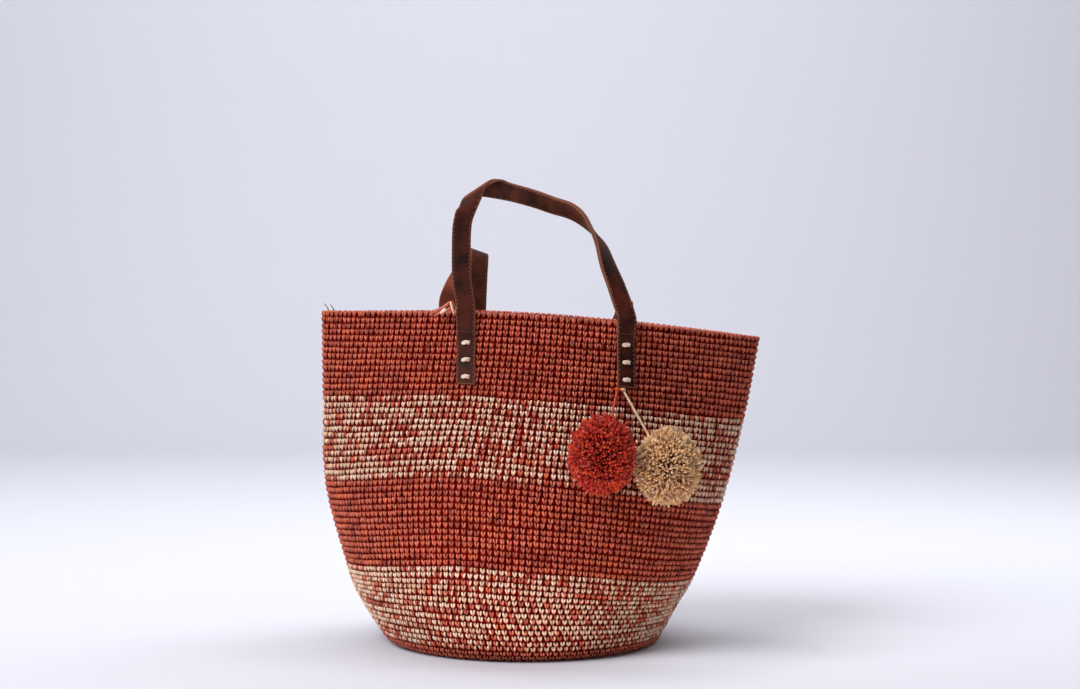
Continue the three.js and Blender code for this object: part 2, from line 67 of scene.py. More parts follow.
# Crocheted body, as in the part's source
BASE_RADIUS = 122 * MM
WALL = 4.5 * MM
HEEL_WIDTH = 17 * MM
BAND_WIDTH = 78.6 * MM
EDGING_WIDTH = 6 * MM
BASE_CORNER = 90 * MM
RIM_CORNER = 12 * MM
CREST_X = -60 * MM
DIP_POWER = 1.6
RIDGE_HEIGHT = 9 * MM
RIDGE_SPREAD = 55 * MM
RIDGE_FOOT_X = -20 * MM
RIDGE_TOP_X = 95 * MM
FIT = 0.3 * MM
SEAMS = HEEL_WIDTH + BAND_WIDTH * np.arange(5)  # feet and heads of the four bands
WALL_LENGTH = SEAMS[-1]

# Rounds of the form: distance up the wall, and reach left, right and front and dip left and right there
ROUNDS = np.array([0, SEAMS[0], SEAMS[:2].mean(), *SEAMS[1:]])
FORM = np.array([
    (0, 0, 0, 0, 0),
    (13, 9, 13, 0, 2),
    (36, 24, 21, 4, 15),
    (47, 39, 25, 14, 29),
    (67, 66, 16, 15, 37),
    (69, 87, -17, 5, 28),
    (70, 102, -39, 0, 25),
]) * MM
LEFT, RIGHT, DEPTH, DIP_LEFT, DIP_RIGHT = range(5)

# Colours, as dark, light and patch
RUST = ((106, 7, 0), (238, 115, 86), (224, 108, 54))
CREAM = ((212, 168, 134), (255, 230, 206))
# Painted shade colours: the yarn's colour is multiplied towards these where its depth calls for shade
# between and under strands
RUST_PAINTED_SHADE = (136, 26, 8)
BROWN_PAINTED_SHADE = (150, 92, 52)
LEATHER = ((28, 8, 6), (80, 31, 21), (150, 96, 76))
LINING = ((40, 16, 10), (92, 48, 34), (150, 96, 76))
PAINTED_LIGHT_LEATHER = (172, 98, 74)
THREAD = ((112, 70, 50), (150, 104, 80), (130, 86, 64))
LACE = ((190, 156, 132), (242, 224, 206), (216, 190, 170))
RED = ((78, 2, 0), (220, 60, 47), (230, 88, 46))
PINK_RED = ((96, 6, 14), (226, 96, 84))
NATURAL = ((150, 92, 36), (255, 217, 168), (240, 190, 128))
PALE_NATURAL = ((168, 127, 92), (252, 224, 194))
FLOOR = (214, 215, 225)


def linear(colour):
    """Linear RGBA of an sRGB colour given in 0 to 255."""
    share = np.array(colour) / 255
    values = np.where(share <= 0.04045, share / 12.92, ((share + 0.055) / 1.055) ** 2.4)
    return (*values.tolist(), 1.0)


def unit(vectors):
    """Vectors scaled to length one."""
    return vectors / np.maximum(np.linalg.norm(vectors, axis=-1, keepdims=True), 1e-12)


def ease(share):
    """3s² - 2s³, from 0 to 1."""
    share = np.clip(share, 0, 1)
    return share * share * (3 - 2 * share)


def run_length(points):
    """Distance of each point of a line from its first, along the line."""
    return np.concatenate([[0], np.cumsum(np.linalg.norm(np.diff(points, axis=0), axis=1))])


def at_length(where, length, values):
    """Values that are known at some distances along a line, at other distances along it."""
    return np.stack([np.interp(where, length, column) for column in values.T], -1)


def polar(radius, share, z):
    """Points at a radius, a share of the way round and a height."""
    angle = TURN * share
    return np.stack(np.broadcast_arrays(radius * np.cos(angle), radius * np.sin(angle), z), -1)


# Wall surface
def form_value(column, along):
    """Cubic Hermite curve through one column of FORM, with a first slope of one for the reaches."""
    values = FORM[:, column]
    slopes = np.empty_like(values)
    slopes[0] = 1.0 if column in (LEFT, RIGHT, DEPTH) else 0.0
    slopes[1:-1] = (values[2:] - values[:-2]) / (ROUNDS[2:] - ROUNDS[:-2])
    slopes[-1] = (values[-1] - values[-2]) / (ROUNDS[-1] - ROUNDS[-2])
    k = np.clip(np.searchsorted(ROUNDS, along) - 1, 0, len(ROUNDS) - 2)
    span = ROUNDS[k + 1] - ROUNDS[k]
    f = (along - ROUNDS[k]) / span
    f2 = f * f
    f3 = f2 * f
    ends = values[k] * (2 * f3 - 3 * f2 + 1) + values[k + 1] * (3 * f2 - 2 * f3)
    return ends + span * (slopes[k] * (f3 - 2 * f2 + f) + slopes[k + 1] * (f3 - f2))


# Height of each round at its crest: the front wall keeps its length as its depth changes
LEVEL_STEPS = np.arange(math.ceil(WALL_LENGTH / MM) + 1) * MM
CLIMBS = np.sqrt(np.maximum(0, MM**2 - np.diff(form_value(DEPTH, LEVEL_STEPS)) ** 2))
LEVELS = np.concatenate([[0], np.cumsum(CLIMBS)])


def oval(a, b, r, share):
    """Four-centre oval of half-width a, half-depth b and end radius r, by share of its perimeter."""
    turn = share % 1
    quarter = np.floor(turn * 4)
    part = turn * 4 - quarter
    flank = ((a - r) ** 2 - (b - r) ** 2) / (2 * (b - r))
    big = b + flank
    big_angle = np.arcsin(np.clip((a - r) / (big - r), -1, 1))
    end_angle = np.pi / 2 - big_angle
    length = np.where(quarter % 2 == 0, part, 1 - part) * (r * end_angle + big * big_angle)
    angle = end_angle + (length - r * end_angle) / big
    on_end = length < r * end_angle
    x = np.where(on_end, a - r + r * np.cos(length / r), big * np.cos(angle))
    y = np.where(on_end, r * np.sin(length / r), big * np.sin(angle) - flank)
    return np.where((quarter == 1) | (quarter == 2), -x, x), np.where(quarter >= 2, -y, y)


def wall(share, along):
    """Points of the outer face: an oval, a soft ridge on the front and rounds that dip to both ends."""
    left = BASE_RADIUS + form_value(LEFT, along)
    right = BASE_RADIUS + form_value(RIGHT, along)
    depth = BASE_RADIUS + form_value(DEPTH, along)
    height = along / WALL_LENGTH
    corner = BASE_CORNER + (RIM_CORNER - BASE_CORNER) * height
    oval_x, oval_y = oval((left + right) / 2, depth, corner, share)
    x = oval_x + (right - left) / 2
    ridge_x = RIDGE_FOOT_X + (RIDGE_TOP_X - RIDGE_FOOT_X) * height * height
    ridge = RIDGE_HEIGHT * np.minimum(1, 2 * height) * np.exp(-(((x - ridge_x) / RIDGE_SPREAD) ** 2))
    facing = np.maximum(0, -oval_y / depth) ** 2
    fall_right = np.maximum(0, (x - CREST_X) / (right - CREST_X)) ** DIP_POWER
    fall_left = np.maximum(0, (CREST_X - x) / (CREST_X + left)) ** DIP_POWER
    z = np.interp(along, LEVEL_STEPS, LEVELS)
    z = z - form_value(DIP_RIGHT, along) * fall_right - form_value(DIP_LEFT, along) * fall_left
    return np.stack([x, oval_y - ridge * facing, z], -1)


STEP_UP = 0.5 * MM  # of the wall's slopes
STEP_ROUND = 0.0005
HALVINGS = 40


def wall_frame(share, along):
    """Point of the outer face with unit vectors out of the wall, up it and level along it to +X."""
    low = np.maximum(along - STEP_UP, 0)
    high = np.minimum(along + STEP_UP, WALL_LENGTH)
    up = unit(wall(share, high) - wall(share, low))
    out = unit(np.cross(wall(share + STEP_ROUND, along) - wall(share - STEP_ROUND, along), up))
    level = unit(np.cross(up, out))
    level = np.where(level[..., :1] < 0, -level, level)
    return wall(share, along), out, up, level


def wall_at_x(front, x, along):
    """Share of the way round where the front or the back wall has a given x, by halving."""
    low = np.full(np.broadcast(x, along).shape, 0.5 if front else 0.0)
    high = low + 0.5
    for _ in range(HALVINGS):
        middle = (low + high) / 2
        beyond = (wall(middle, along)[..., 0] < x) == front
        low, high = np.where(beyond, middle, low), np.where(beyond, high, middle)
    return (low + high) / 2


def wall_surface(share, along):
    """Wall points and outward directions."""
    return wall_frame(share, along)[:2]


def inner_surface(share, along):
    """Points of the inner face and directions into the bag."""
    point, out = wall_surface(share, along)
    return point - out * WALL, -out


def base_surface(share, along):
    """Underside of the base: along is the distance from its middle, and out is down."""
    point = polar(along, share, 0.0)
    return point, np.broadcast_to([0.0, 0.0, -1.0], point.shape)


# Meshes
def grid(rows, columns, close_rows=False, close_columns=False):
    """Quads of a grid of vertices, and their corners' places on the unit square. A closed direction joins
    its last line to its first."""
    down = rows if close_rows else rows - 1
    side = columns if close_columns else columns - 1
    r, c = np.divmod(np.arange(down * side)[:, None], side)
    r = r + [0, 0, 1, 1]
    c = c + [0, 1, 1, 0]
    return r % rows * columns + c % columns, np.stack([r / down, c / side], -1)


NO_TRIANGLES = np.zeros((0, 3), int)
NO_TRIANGLE_UV = np.zeros((0, 3, 2))


def shell(vertices, quads, quad_uv, yarn, triangles=NO_TRIANGLES, triangle_uv=NO_TRIANGLE_UV):
    """A closed surface as a dict of arrays, with its faces turned outwards by the sign of its volume."""
    vertices = vertices.reshape(-1, 3)
    fans = np.concatenate([quads[:, :3], quads[:, [0, 2, 3]], triangles])
    a, b, c = (vertices[fans[:, i]] for i in range(3))
    parts = {"quads": quads, "quad_uv": quad_uv, "triangles": triangles, "triangle_uv": triangle_uv}
    if np.einsum("ij,ij->", a, np.cross(b, c)) < 0:
        parts = {key: part[:, ::-1] for key, part in parts.items()}
    return {**parts, "vertices": vertices, "yarn": yarn.reshape(-1, 3)}


def closed_grid(points, yarn):
    """The shell of a grid of points that joins up in both directions."""
    quads, uv = grid(*points.shape[:2], True, True)
    return shell(points, quads, uv, yarn)


def add_piece(name, shells, material):
    """One smooth mesh object from closed shells, with its UV map and the yarn attribute."""
    sizes = np.cumsum([0] + [len(s["vertices"]) for s in shells])
    vertices = np.concatenate([s["vertices"] for s in shells])
    quads = np.concatenate([s["quads"] + n for s, n in zip(shells, sizes)])
    triangles = np.concatenate([s["triangles"] + n for s, n in zip(shells, sizes)])
    corners = np.concatenate([quads.ravel(), triangles.ravel()])
    starts = np.concatenate([np.arange(len(quads)) * 4, quads.size + np.arange(len(triangles)) * 3])
    uv = np.concatenate([s[key].ravel() for key in ("quad_uv", "triangle_uv") for s in shells])
    yarn = np.concatenate([s["yarn"] for s in shells])
    colours = np.concatenate([yarn, np.ones((len(yarn), 1))], 1)
    mesh = bpy.data.meshes.new(name)
    mesh.vertices.add(len(vertices))
    mesh.vertices.foreach_set("co", vertices.astype(np.float32).ravel())
    mesh.loops.add(len(corners))
    mesh.loops.foreach_set("vertex_index", corners.astype(np.int32))
    mesh.polygons.add(len(starts))
    mesh.polygons.foreach_set("loop_start", starts.astype(np.int32))
    mesh.polygons.foreach_set("use_smooth", np.ones(len(starts), bool))
    mesh.update(calc_edges=True)
    mesh.uv_layers.new(name=UV_MAP).uv.foreach_set("vector", uv.astype(np.float32))
    attribute = mesh.color_attributes.new("yarn", "FLOAT_COLOR", "POINT")
    attribute.data.foreach_set("color", colours.astype(np.float32).ravel())
    mesh.materials.append(material)
    piece = bpy.data.objects.new(name, mesh)
    scene.collection.objects.link(piece)
    return piece


def tie(piece, body, slot, *nodes):
    """Names the body that a piece rides and hides the nodes that it stands for; the slot is not used."""
    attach(piece, body)
    if nodes:
        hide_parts(*nodes)


ROUND = np.radians([90, 162, 234, 306, 378])
THREE_SIDED = np.radians([90, 210, 330])
CROWNED = np.radians([-15, 40, 90, 140, 195])  # all corners on the side that shows
CELL_MARGIN = 0.08  # round each strand on the UV map


def strands(middles, outs, widths, heights, tint, depth, turn=ROUND, under=0.0):
    """Spindles along n middle lines of k points: an ellipse about each inner point, with its corners at
    the angles of turn, and the first and last points as tips. Each strand has its own cell of the UV map.
    The yarn attribute holds its tint, two numbers a strand, and depth, painted shade, one number a
    point of the line, which grows by up to under from the outer side of the strand to the inner side, as
    painted shade towards the strand's underside."""
    n, k, _ = middles.shape
    sides = len(turn)
    along = unit(np.gradient(middles, axis=1))
    across = unit(np.cross(along, outs))
    over = np.cross(across, along)
    widths = np.broadcast_to(widths, (n, k - 2))[..., None, None]
    heights = np.broadcast_to(heights, (n, k - 2))[..., None, None]
    rings = middles[:, 1:-1, None] + across[:, 1:-1, None] * np.cos(turn)[:, None] * widths
    rings = rings + over[:, 1:-1, None] * np.sin(turn)[:, None] * heights
    vertices = np.concatenate([middles[:, :1], rings.reshape(n, -1, 3), middles[:, -1:]], 1)
    per = vertices.shape[1]
    side = np.arange(sides)
    after = (side + 1) % sides
    last = per - 1 - sides
    tips = np.concatenate([
        np.stack([0 * side, 1 + after, 1 + side], -1),
        np.stack([0 * side + per - 1, last + side, last + after], -1),
    ])
    tip_u = np.repeat([[0, 1, 1], [k - 1, k - 2, k - 2]], sides, 0) / (k - 1)
    tip_v = (side[:, None] + [0.5, 1, 0]) / sides
    tip_uv = np.stack([tip_u, np.concatenate([tip_v, tip_v[:, [0, 2, 1]]])], -1)
    ring_quads, ring_uv = grid(k - 2, sides, close_columns=True)
    ring_uv = ring_uv * [(k - 3) / (k - 1), 1] + [1 / (k - 1), 0]
    columns = math.ceil(math.sqrt(n))
    cell = np.stack(np.divmod(np.arange(n), columns)[::-1], -1)[:, None, None]
    quad_uv, triangle_uv = (
        ((cell + CELL_MARGIN + (1 - 2 * CELL_MARGIN) * uv) / columns).reshape(-1, uv.shape[1], 2)
        for uv in (ring_uv, tip_uv)
    )
    # painted shade: darker towards each strand's underside, by up to under
    ring_painted_shade = np.minimum(1, depth[1:-1, None] + under * (1 - np.sin(turn)) / 2)
    yarn = np.empty((n, per, 3))
    yarn[..., :2] = np.asarray(tint)[:, None]
    yarn[..., 2] = np.concatenate([depth[:1], ring_painted_shade.ravel(), depth[-1:]])
    first = (np.arange(n) * per)[:, None, None]
    quads = (1 + ring_quads + first).reshape(-1, 4)
    return shell(vertices, quads, quad_uv, yarn, (tips + first).reshape(-1, 3), triangle_uv)


def tube(line, across, over, radius, tint, closed=False, sides=8):
    """A round tube about a line of points with given cross directions, its ends closed by fans."""
    turn = TURN * np.arange(sides)[:, None] / sides
    across, over = (np.broadcast_to(vectors, line.shape)[:, None] for vectors in (across, over))
    rings = line[:, None] + radius * (across * np.cos(turn) + over * np.sin(turn))
    quads, quad_uv = grid(len(line), sides, closed, True)
    triangles = NO_TRIANGLES
    if not closed:
        side = np.arange(1, sides - 1)
        end = (len(line) - 1) * sides
        triangles = np.concatenate([
            np.stack([0 * side, side + 1, side], -1),
            np.stack([end + 0 * side, end + side, end + side + 1], -1),
        ])
    yarn = np.broadcast_to([*tint, 0.0], rings.shape)
    return shell(rings, quads, quad_uv, yarn, triangles, np.zeros((len(triangles), 3, 2)))


def square_to(along, hint):
    """Two directions square to a line and to each other, the first also square to a hint."""
    along = unit(along)
    side = unit(np.cross(along, hint))
    return side, np.cross(side, along)


def loop_slope(line):
    """Direction of a closed line at each of its points."""
    return np.roll(line, -1, 0) - np.roll(line, 1, 0)


def plies(line, side, over, turns, reach, radius, tints, closed=False):
    """Tubes twisted round a line, one for each tint: line + reach[0] side cos a + reach[1] over sin a."""
    share = np.arange(len(line))[:, None] / (len(line) if closed else len(line) - 1)
    made = []
    for i, tint in enumerate(tints):
        angle = TURN * (turns * share + i / len(tints))
        ply = line + reach[0] * side * np.cos(angle) + reach[1] * over * np.sin(angle)
        made.append(tube(ply, side, over, radius, tint, closed))
    return made


# Shader arithmetic
class Socket:
    """A shader socket. Arithmetic adds Math nodes, node() adds any other node to its tree, and fill()
    sets a node's inputs to values or joins them to sockets."""

    def __init__(self, tree, socket=None):
        self.tree = tree
        self.socket = socket

    def node(self, kind, settings=None, inputs=None, output=0):
        made = self.tree.nodes.new(kind)
        for key, value in (settings or {}).items():
            setattr(made, key, value)
        self.fill(made, inputs or {})
        return Socket(self.tree, made.outputs[output])

    def fill(self, node, inputs):
        for key, value in inputs.items():
            if isinstance(value, Socket):
                self.tree.links.new(value.socket, node.inputs[key])
            else:
                node.inputs[key].default_value = value

    def math(self, operation, *terms):
        return self.node("ShaderNodeMath", {"operation": operation}, dict(enumerate(terms)))

    def mix(self, first, second, blend="MIX"):
        settings = {"data_type": "RGBA", "blend_type": blend, "clamp_factor": True}
        return self.node("ShaderNodeMix", settings, {0: self, 6: first, 7: second}, 2)

    def noise(self, vector, scale, detail=2.0):
        return self.node("ShaderNodeTexNoise", {}, {"Vector": vector, "Scale": scale, "Detail": detail})

    def stretched(self, vector, scale):
        return self.node("ShaderNodeMapping", {}, {"Vector": vector, "Scale": scale})

    def bump(self, distance, strength):
        inputs = {"Height": self, "Distance": distance, "Strength": strength}
        return self.node("ShaderNodeBump", {}, inputs)

    def __add__(self, other):
        return self.math("ADD", self, other)

    __radd__ = __add__

    def __sub__(self, other):
        return self.math("SUBTRACT", self, other)

    def __rsub__(self, other):
        return self.math("SUBTRACT", other, self)

    def __mul__(self, other):
        return self.math("MULTIPLY", self, other)

    __rmul__ = __mul__


def new_material(name):
    """An empty material with its Principled shader, and a socket to start its tree from."""
    material = bpy.data.materials.new(name)
    material.use_nodes = True
    tree = material.node_tree
    return material, tree.nodes["Principled BSDF"], Socket(tree)


def yarn_parts(start):
    """The yarn attribute's three numbers: first tint, second tint and depth, which is painted shade on
    yarn and marks the cut edge on leather.
    """
    colour = start.node("ShaderNodeAttribute", {"attribute_name": "yarn"}, {}, "Color")
    return [colour.node("ShaderNodeSeparateColor", {}, {0: colour}, i) for i in range(3)]


PATCH_SCALE = (45, 45, 175)  # patches run along the rounds
PATCH_START = 0.45
PATCH_RISE = 5.0
TONE_OF_SHADE = 0.7
TONE_OF_STREAKS = 1.6
TONE_START = 0.65
FRAY = 0.8  # how far the streaks mix the two yarns
FIBRE_ROUGHNESS = 0.4
FIBRE_HEIGHT = 0.5 * MM
FIBRE_STRENGTH = 0.9
SHEEN_RISE = 3.0
SHEEN_START = 0.9
SHEEN_IOR = 1.75
YARN_SPECULAR = 0.05


def yarn_material(name, colours, second, painted_shade_colour, fibres, roughness, gloss, patches=0.0):
    """Fibrous yarn: first tint picks between two yarns, second tint and streaks along the strand shade it
    from dark to light, slow patches turn it to a third colour, and depth paints shade into what lies
    between by multiplying in a painted shade colour. The sheen of a coat lies on the raised fibres that
    are open to view."""
    material, shader, start = new_material(name)
    other, shade, depth = yarn_parts(start)
    uv = start.node("ShaderNodeUVMap", {"uv_map": UV_MAP})
    place = start.node("ShaderNodeTexCoord", {}, {}, "Object")
    streaks = start.noise(start.stretched(uv, fibres), 1.0, 3.0)
    cloud = start.noise(start.stretched(place, PATCH_SCALE), 1.0, 1.0)
    tone = shade * TONE_OF_SHADE + streaks * TONE_OF_STREAKS - TONE_START
    first = tone.mix(linear(colours[0]), linear(colours[1]))
    first = ((cloud - PATCH_START) * (PATCH_RISE * patches)).mix(first, linear(colours[2]))
    pick = other + (streaks - 0.5) * FRAY
    colour = pick.mix(first, tone.mix(linear(second[0]), linear(second[1])))
    start.fill(shader, {
        # painted shade: depth multiplies the colour towards the painted shade colour in gaps and under
        # strands
        "Base Color": depth.mix(colour, depth.mix(colour, linear(painted_shade_colour), "MULTIPLY")),
        "Roughness": roughness + (0.5 - streaks) * FIBRE_ROUGHNESS,
        "Coat Weight": (1 - depth) * gloss * (streaks * SHEEN_RISE - SHEEN_START),
        "Coat Roughness": roughness,
        "Coat IOR": SHEEN_IOR,
        "Specular IOR Level": YARN_SPECULAR,
        "Normal": streaks.bump(FIBRE_HEIGHT, FIBRE_STRENGTH),
    })
    return material


CLOUD_SCALE = 55.0
GRAIN_SCALE = 1500.0
PORE_SCALE = 900.0
CLOUD_TONE = 2.2
GRAIN_TONE = 0.6
WEAR_AND_LIGHT_TONE = 0.35
LEATHER_TONE_START = 0.85
PAINTED_LIGHT_SHARE = 0.75
EDGE_SHARE = 0.2
CLOUD_ROUGHNESS = 0.3
EDGE_ROUGHNESS = 0.2
GRAIN_HEIGHT = 0.4
PORE_HEIGHT = 0.6
LEATHER_HEIGHT = 0.3 * MM
LEATHER_STRENGTH = 0.35
LEATHER_SPECULAR = 0.1


def leather_material(name, dark, light, edge, roughness=0.55):
    """Leather: cloudy colour, fine grain and random wear, stretches painted pale as painted light, and
    paler cut edges where depth is one.
    """
    material, shader, start = new_material(name)
    wear_and_painted_light, _, cut = yarn_parts(start)
    place = start.node("ShaderNodeTexCoord", {}, {}, "Object")
    clouds = start.noise(place, CLOUD_SCALE, 3.0)
    grain = start.noise(place, GRAIN_SCALE)
    pores = start.node("ShaderNodeTexVoronoi", {}, {"Vector": place, "Scale": PORE_SCALE})
    tone = clouds * CLOUD_TONE - LEATHER_TONE_START + (grain - 0.5) * GRAIN_TONE + wear_and_painted_light * WEAR_AND_LIGHT_TONE
    colour = tone.mix(linear(dark), linear(light))
    # painted light: where the painted pale stretches lift the value past one, the leather turns towards a
    # painted light colour
    colour = ((wear_and_painted_light - 1) * PAINTED_LIGHT_SHARE).mix(colour, linear(PAINTED_LIGHT_LEATHER))
    colour = (cut * (EDGE_SHARE + grain * (1 - EDGE_SHARE))).mix(colour, linear(edge))
    height = grain * GRAIN_HEIGHT + pores * PORE_HEIGHT + clouds
    start.fill(shader, {
        "Base Color": colour,
        "Roughness": roughness + (clouds - 0.5) * CLOUD_ROUGHNESS + cut * EDGE_ROUGHNESS,
        "Specular IOR Level": LEATHER_SPECULAR,
        "Normal": height.bump(LEATHER_HEIGHT, LEATHER_STRENGTH),
    })
    return material


RAFFIA = {"colours": RUST, "second": CREAM, "painted_shade_colour": RUST_PAINTED_SHADE, "patches": 0.35}
TUFTED = {"fibres": (60, 260, 1), "roughness": 0.8, "gloss": 0.2, "patches": 0.5}
rust_raffia = yarn_material("rust_raffia", fibres=(70, 900, 1), roughness=0.42, gloss=1.0, **RAFFIA)
inside_raffia = yarn_material("inside_raffia", fibres=(110, 620, 1), roughness=0.8, gloss=0.03, **RAFFIA)
lace_cord = yarn_material("lace_cord", LACE, LACE, BROWN_PAINTED_SHADE, (40, 6, 1), roughness=0.7, gloss=0.3)
YARNS = {
    "red": yarn_material("red_yarn", RED, PINK_RED, RUST_PAINTED_SHADE, **TUFTED),
    "natural": yarn_material("natural_yarn", NATURAL, PALE_NATURAL, BROWN_PAINTED_SHADE, **TUFTED),
}
thread = yarn_material("thread", THREAD, THREAD, BROWN_PAINTED_SHADE, (60, 200, 1), roughness=0.6, gloss=0.3)
strap_leather = leather_material("strap_leather", *LEATHER)
lining_leather = leather_material("lining_leather", *LINING)


# Camera at the photograph's viewing angle
FOCAL_PX = 2030
FRAME_PX = (1080, 689)
HORIZON_PX = 288
CAMERA_PLACE = (15.2 * MM, -1926 * MM, 333 * MM)
camera = bpy.data.objects.new("camera", bpy.data.cameras.new("camera"))
scene.collection.objects.link(camera)
camera.data.lens = FOCAL_PX / FRAME_PX[0] * camera.data.sensor_width
pitch = math.atan((FRAME_PX[1] / 2 - HORIZON_PX) / FOCAL_PX)
camera.location = CAMERA_PLACE
camera.rotation_euler = (math.pi / 2 - pitch, 0, 0)
scene.camera = camera


# Pompoms on their cords
POMPOM_FUZZ = 1.07  # reach of the yarn ends beyond the solid
GOLDEN = (1 + 5**0.5) / 2
TUFTS = 3600
HAIRS = 2400
TUFT_STEPS = np.array([0.45, 0.68, 0.86, 0.975, 1.0])  # of the reach
TUFT_SHADOWS = np.array([1.0, 1.0, 0.9, 0.15, 0.0])
TUFT_RADII = np.array([0.6, 0.9, 1.0]) * MM
HAIR_RADII = np.array([0.3, 0.3, 0.25]) * MM
TUFT_REACH = (0.84, 1.0)
HAIR_REACH = (0.92, 1.02)
TUFT_SCATTER = 0.03
TUFT_BEND = 2.4 * MM
SECOND_YARN = 0.3  # share of the tufts
CLUMPS = np.array([(5.1, 2.2, -3.7), (-2.6, 4.4, 4.9)])
CLUMP_HEIGHT = 0.025
DIMPLE_DEPTH = 0.3
DIMPLE_SPREAD = 0.006
CORD_DIAMETER = 2.2 * MM
CORD_STEPS = 73
CORD_TURNS = 9
CORD_SHADES = (0.6, 0.7745, 0.9491)
PLY_REACH = (CORD_DIAMETER * 0.25,) * 2
PLY_RADIUS = CORD_DIAMETER * 0.27
KNOT_RADIUS = 2.4 * MM
KNOT_LOOP = KNOT_RADIUS * 0.3
KNOT_CORD = KNOT_RADIUS * 0.36
KNOT_STEPS = 60
KNOT_TINT = (0.0, 0.55)
LEANS = {"red": (-0.05, 0, 0.03), "natural": (0.05, 0, -0.03)}
DIMPLES = {"red": (0.05, -1, -0.25), "natural": (0.42, -1, -0.3)}


def joint_place(name):
    """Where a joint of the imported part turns."""
    return np.array(next(j["pos_m"] for j in frame["joints"] if j["name"] == name))


def node_middle(node):
    """Middle and half sizes of a node's box."""
    low, high = (np.array(corner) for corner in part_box(node))
    return (low + high) / 2, (high - low) / 2


def add_cord(name, knot, centre):
    """A three-ply cord from its knot into the middle of its pompom, and its line."""
    route = knot + (centre - knot) * np.linspace(0, 1, CORD_STEPS)[:, None]
    side, over = square_to(centre - knot, [0.0, 0.3, 1.0])
    tints = [(1.0, shade) for shade in CORD_SHADES]
    cord = plies(route, side, over, CORD_TURNS, PLY_REACH, PLY_RADIUS, tints)
    return add_piece(f"{name}_cord_yarn", cord, YARNS[name]), route


def add_knot(name, knot):
    """An overhand knot: three crossing turns of cord, (sin t + 2 sin 2t, cos t - 2 cos 2t, -sin 3t)."""
    t = TURN * np.arange(KNOT_STEPS) / KNOT_STEPS
    loop = np.stack([np.sin(t) + 2 * np.sin(2 * t), np.cos(t) - 2 * np.cos(2 * t), -np.sin(3 * t)], -1)
    line = knot + loop * KNOT_LOOP
    ring = tube(line, *square_to(loop_slope(line), [0.2, 0.4, 1.0]), KNOT_CORD, KNOT_TINT, closed=True)
    return add_piece(f"{name}_knot_yarn", [ring], YARNS[name])


def pompom_reach(directions, half, lean, dimple):
    """Reach of the yarn ends: an ellipsoid times 1 + clumps + lean, less a dimple round one direction."""
    radius = 1 / np.linalg.norm(directions / half, axis=-1)
    clumps = np.sin(directions @ CLUMPS[0] + 1.0) * np.sin(directions @ CLUMPS[1])
    hollow = DIMPLE_DEPTH * np.exp((directions @ unit(np.array(dimple)) - 1) / DIMPLE_SPREAD)
    return radius * (1 + CLUMP_HEIGHT * clumps + directions @ np.array(lean) - hollow)


def add_pompom(name, centre, half):
    """Tufts of cut yarn that stand out from the middle, spread by the golden ratio, with fine hairs among
    them. A tuft runs along its own direction up to the reach there, and bends a little sideways."""
    count = TUFTS + HAIRS
    order = rng.permutation(count) + 0.5
    slope = np.arccos(1 - 2 * order / count)
    directions = polar(np.sin(slope), GOLDEN * order, np.cos(slope))
    directions = unit(directions + rng.normal(0, TUFT_SCATTER, (count, 3)))
    reach = pompom_reach(directions, half * POMPOM_FUZZ, LEANS[name], DIMPLES[name])
    tuft = np.arange(count) < TUFTS
    reach = reach * np.where(tuft, rng.uniform(*TUFT_REACH, count), rng.uniform(*HAIR_REACH, count))
    bend = rng.normal(0, TUFT_BEND, (count, 1, 3)) * (TUFT_STEPS - TUFT_STEPS[0])[:, None]
    middles = centre + directions[:, None] * (reach[:, None] * TUFT_STEPS)[..., None] + bend
    outs = np.broadcast_to(unit(rng.normal(0, 1, (count, 1, 3))), middles.shape)
    tint = np.stack([rng.uniform(0, 1, count) < SECOND_YARN, rng.uniform(0, 1, count)], -1)
    hair_tint = tint[~tuft] * [1, 0.5] + [0, 0.5]
    tufts = strands(middles[tuft], outs[tuft], TUFT_RADII, TUFT_RADII, tint[tuft], TUFT_SHADOWS)
    hairs = strands(
        middles[~tuft], outs[~tuft], HAIR_RADII, HAIR_RADII, hair_tint, TUFT_SHADOWS, THREE_SIDED)
    return add_piece(f"{name}_pompom_yarn", [tufts, hairs], YARNS[name])


for name in ("red", "natural"):
    knot = joint_place(f"{name}_lift")
    centre, half = node_middle(f"{name}_pompom")
    cord_piece, route = add_cord(name, knot, centre)
    knot_piece = add_knot(name, knot)
    pompom_piece = add_pompom(name, centre, half)
    tie(knot_piece, f"{name}_hanger", f"{name}_yarn", f"{name}_knot")
    tie(cord_piece, f"{name}_tassel", f"{name}_yarn", f"{name}_cord")
    tie(pompom_piece, f"{name}_tassel", f"{name}_yarn", f"{name}_pompom")


# Crochet: rows and stitches
ROWS_PER_BAND = 14
TOP_ROWS = 13
HEEL_ROWS = 3
BASE_ROUNDS = 21
BASE_SHADE = 0.45
STITCHES = 168
FULL_ROW = 12  # the rounds widen up to this one
FIRST_SHARE = 0.79  # stitches in the first round of the wall, as a share of the full count
PLAIN = (0.0,) * ROWS_PER_BAND  # shares of cream
LOWER_CREAM = (0.55, 0.7, 0.6, 0.75, 0.6, 0.7, 0.55, 0.65, 0.75, 0.6, 0.6, 0.65, 0.7, 0.7)
UPPER_CREAM = (0.6, 0.7, 0.65, 0.45, 0.35, 0.45, 0.6, 0.65, 0.7, 0.6, 0.5, 0.65, 0.7, 0.55)

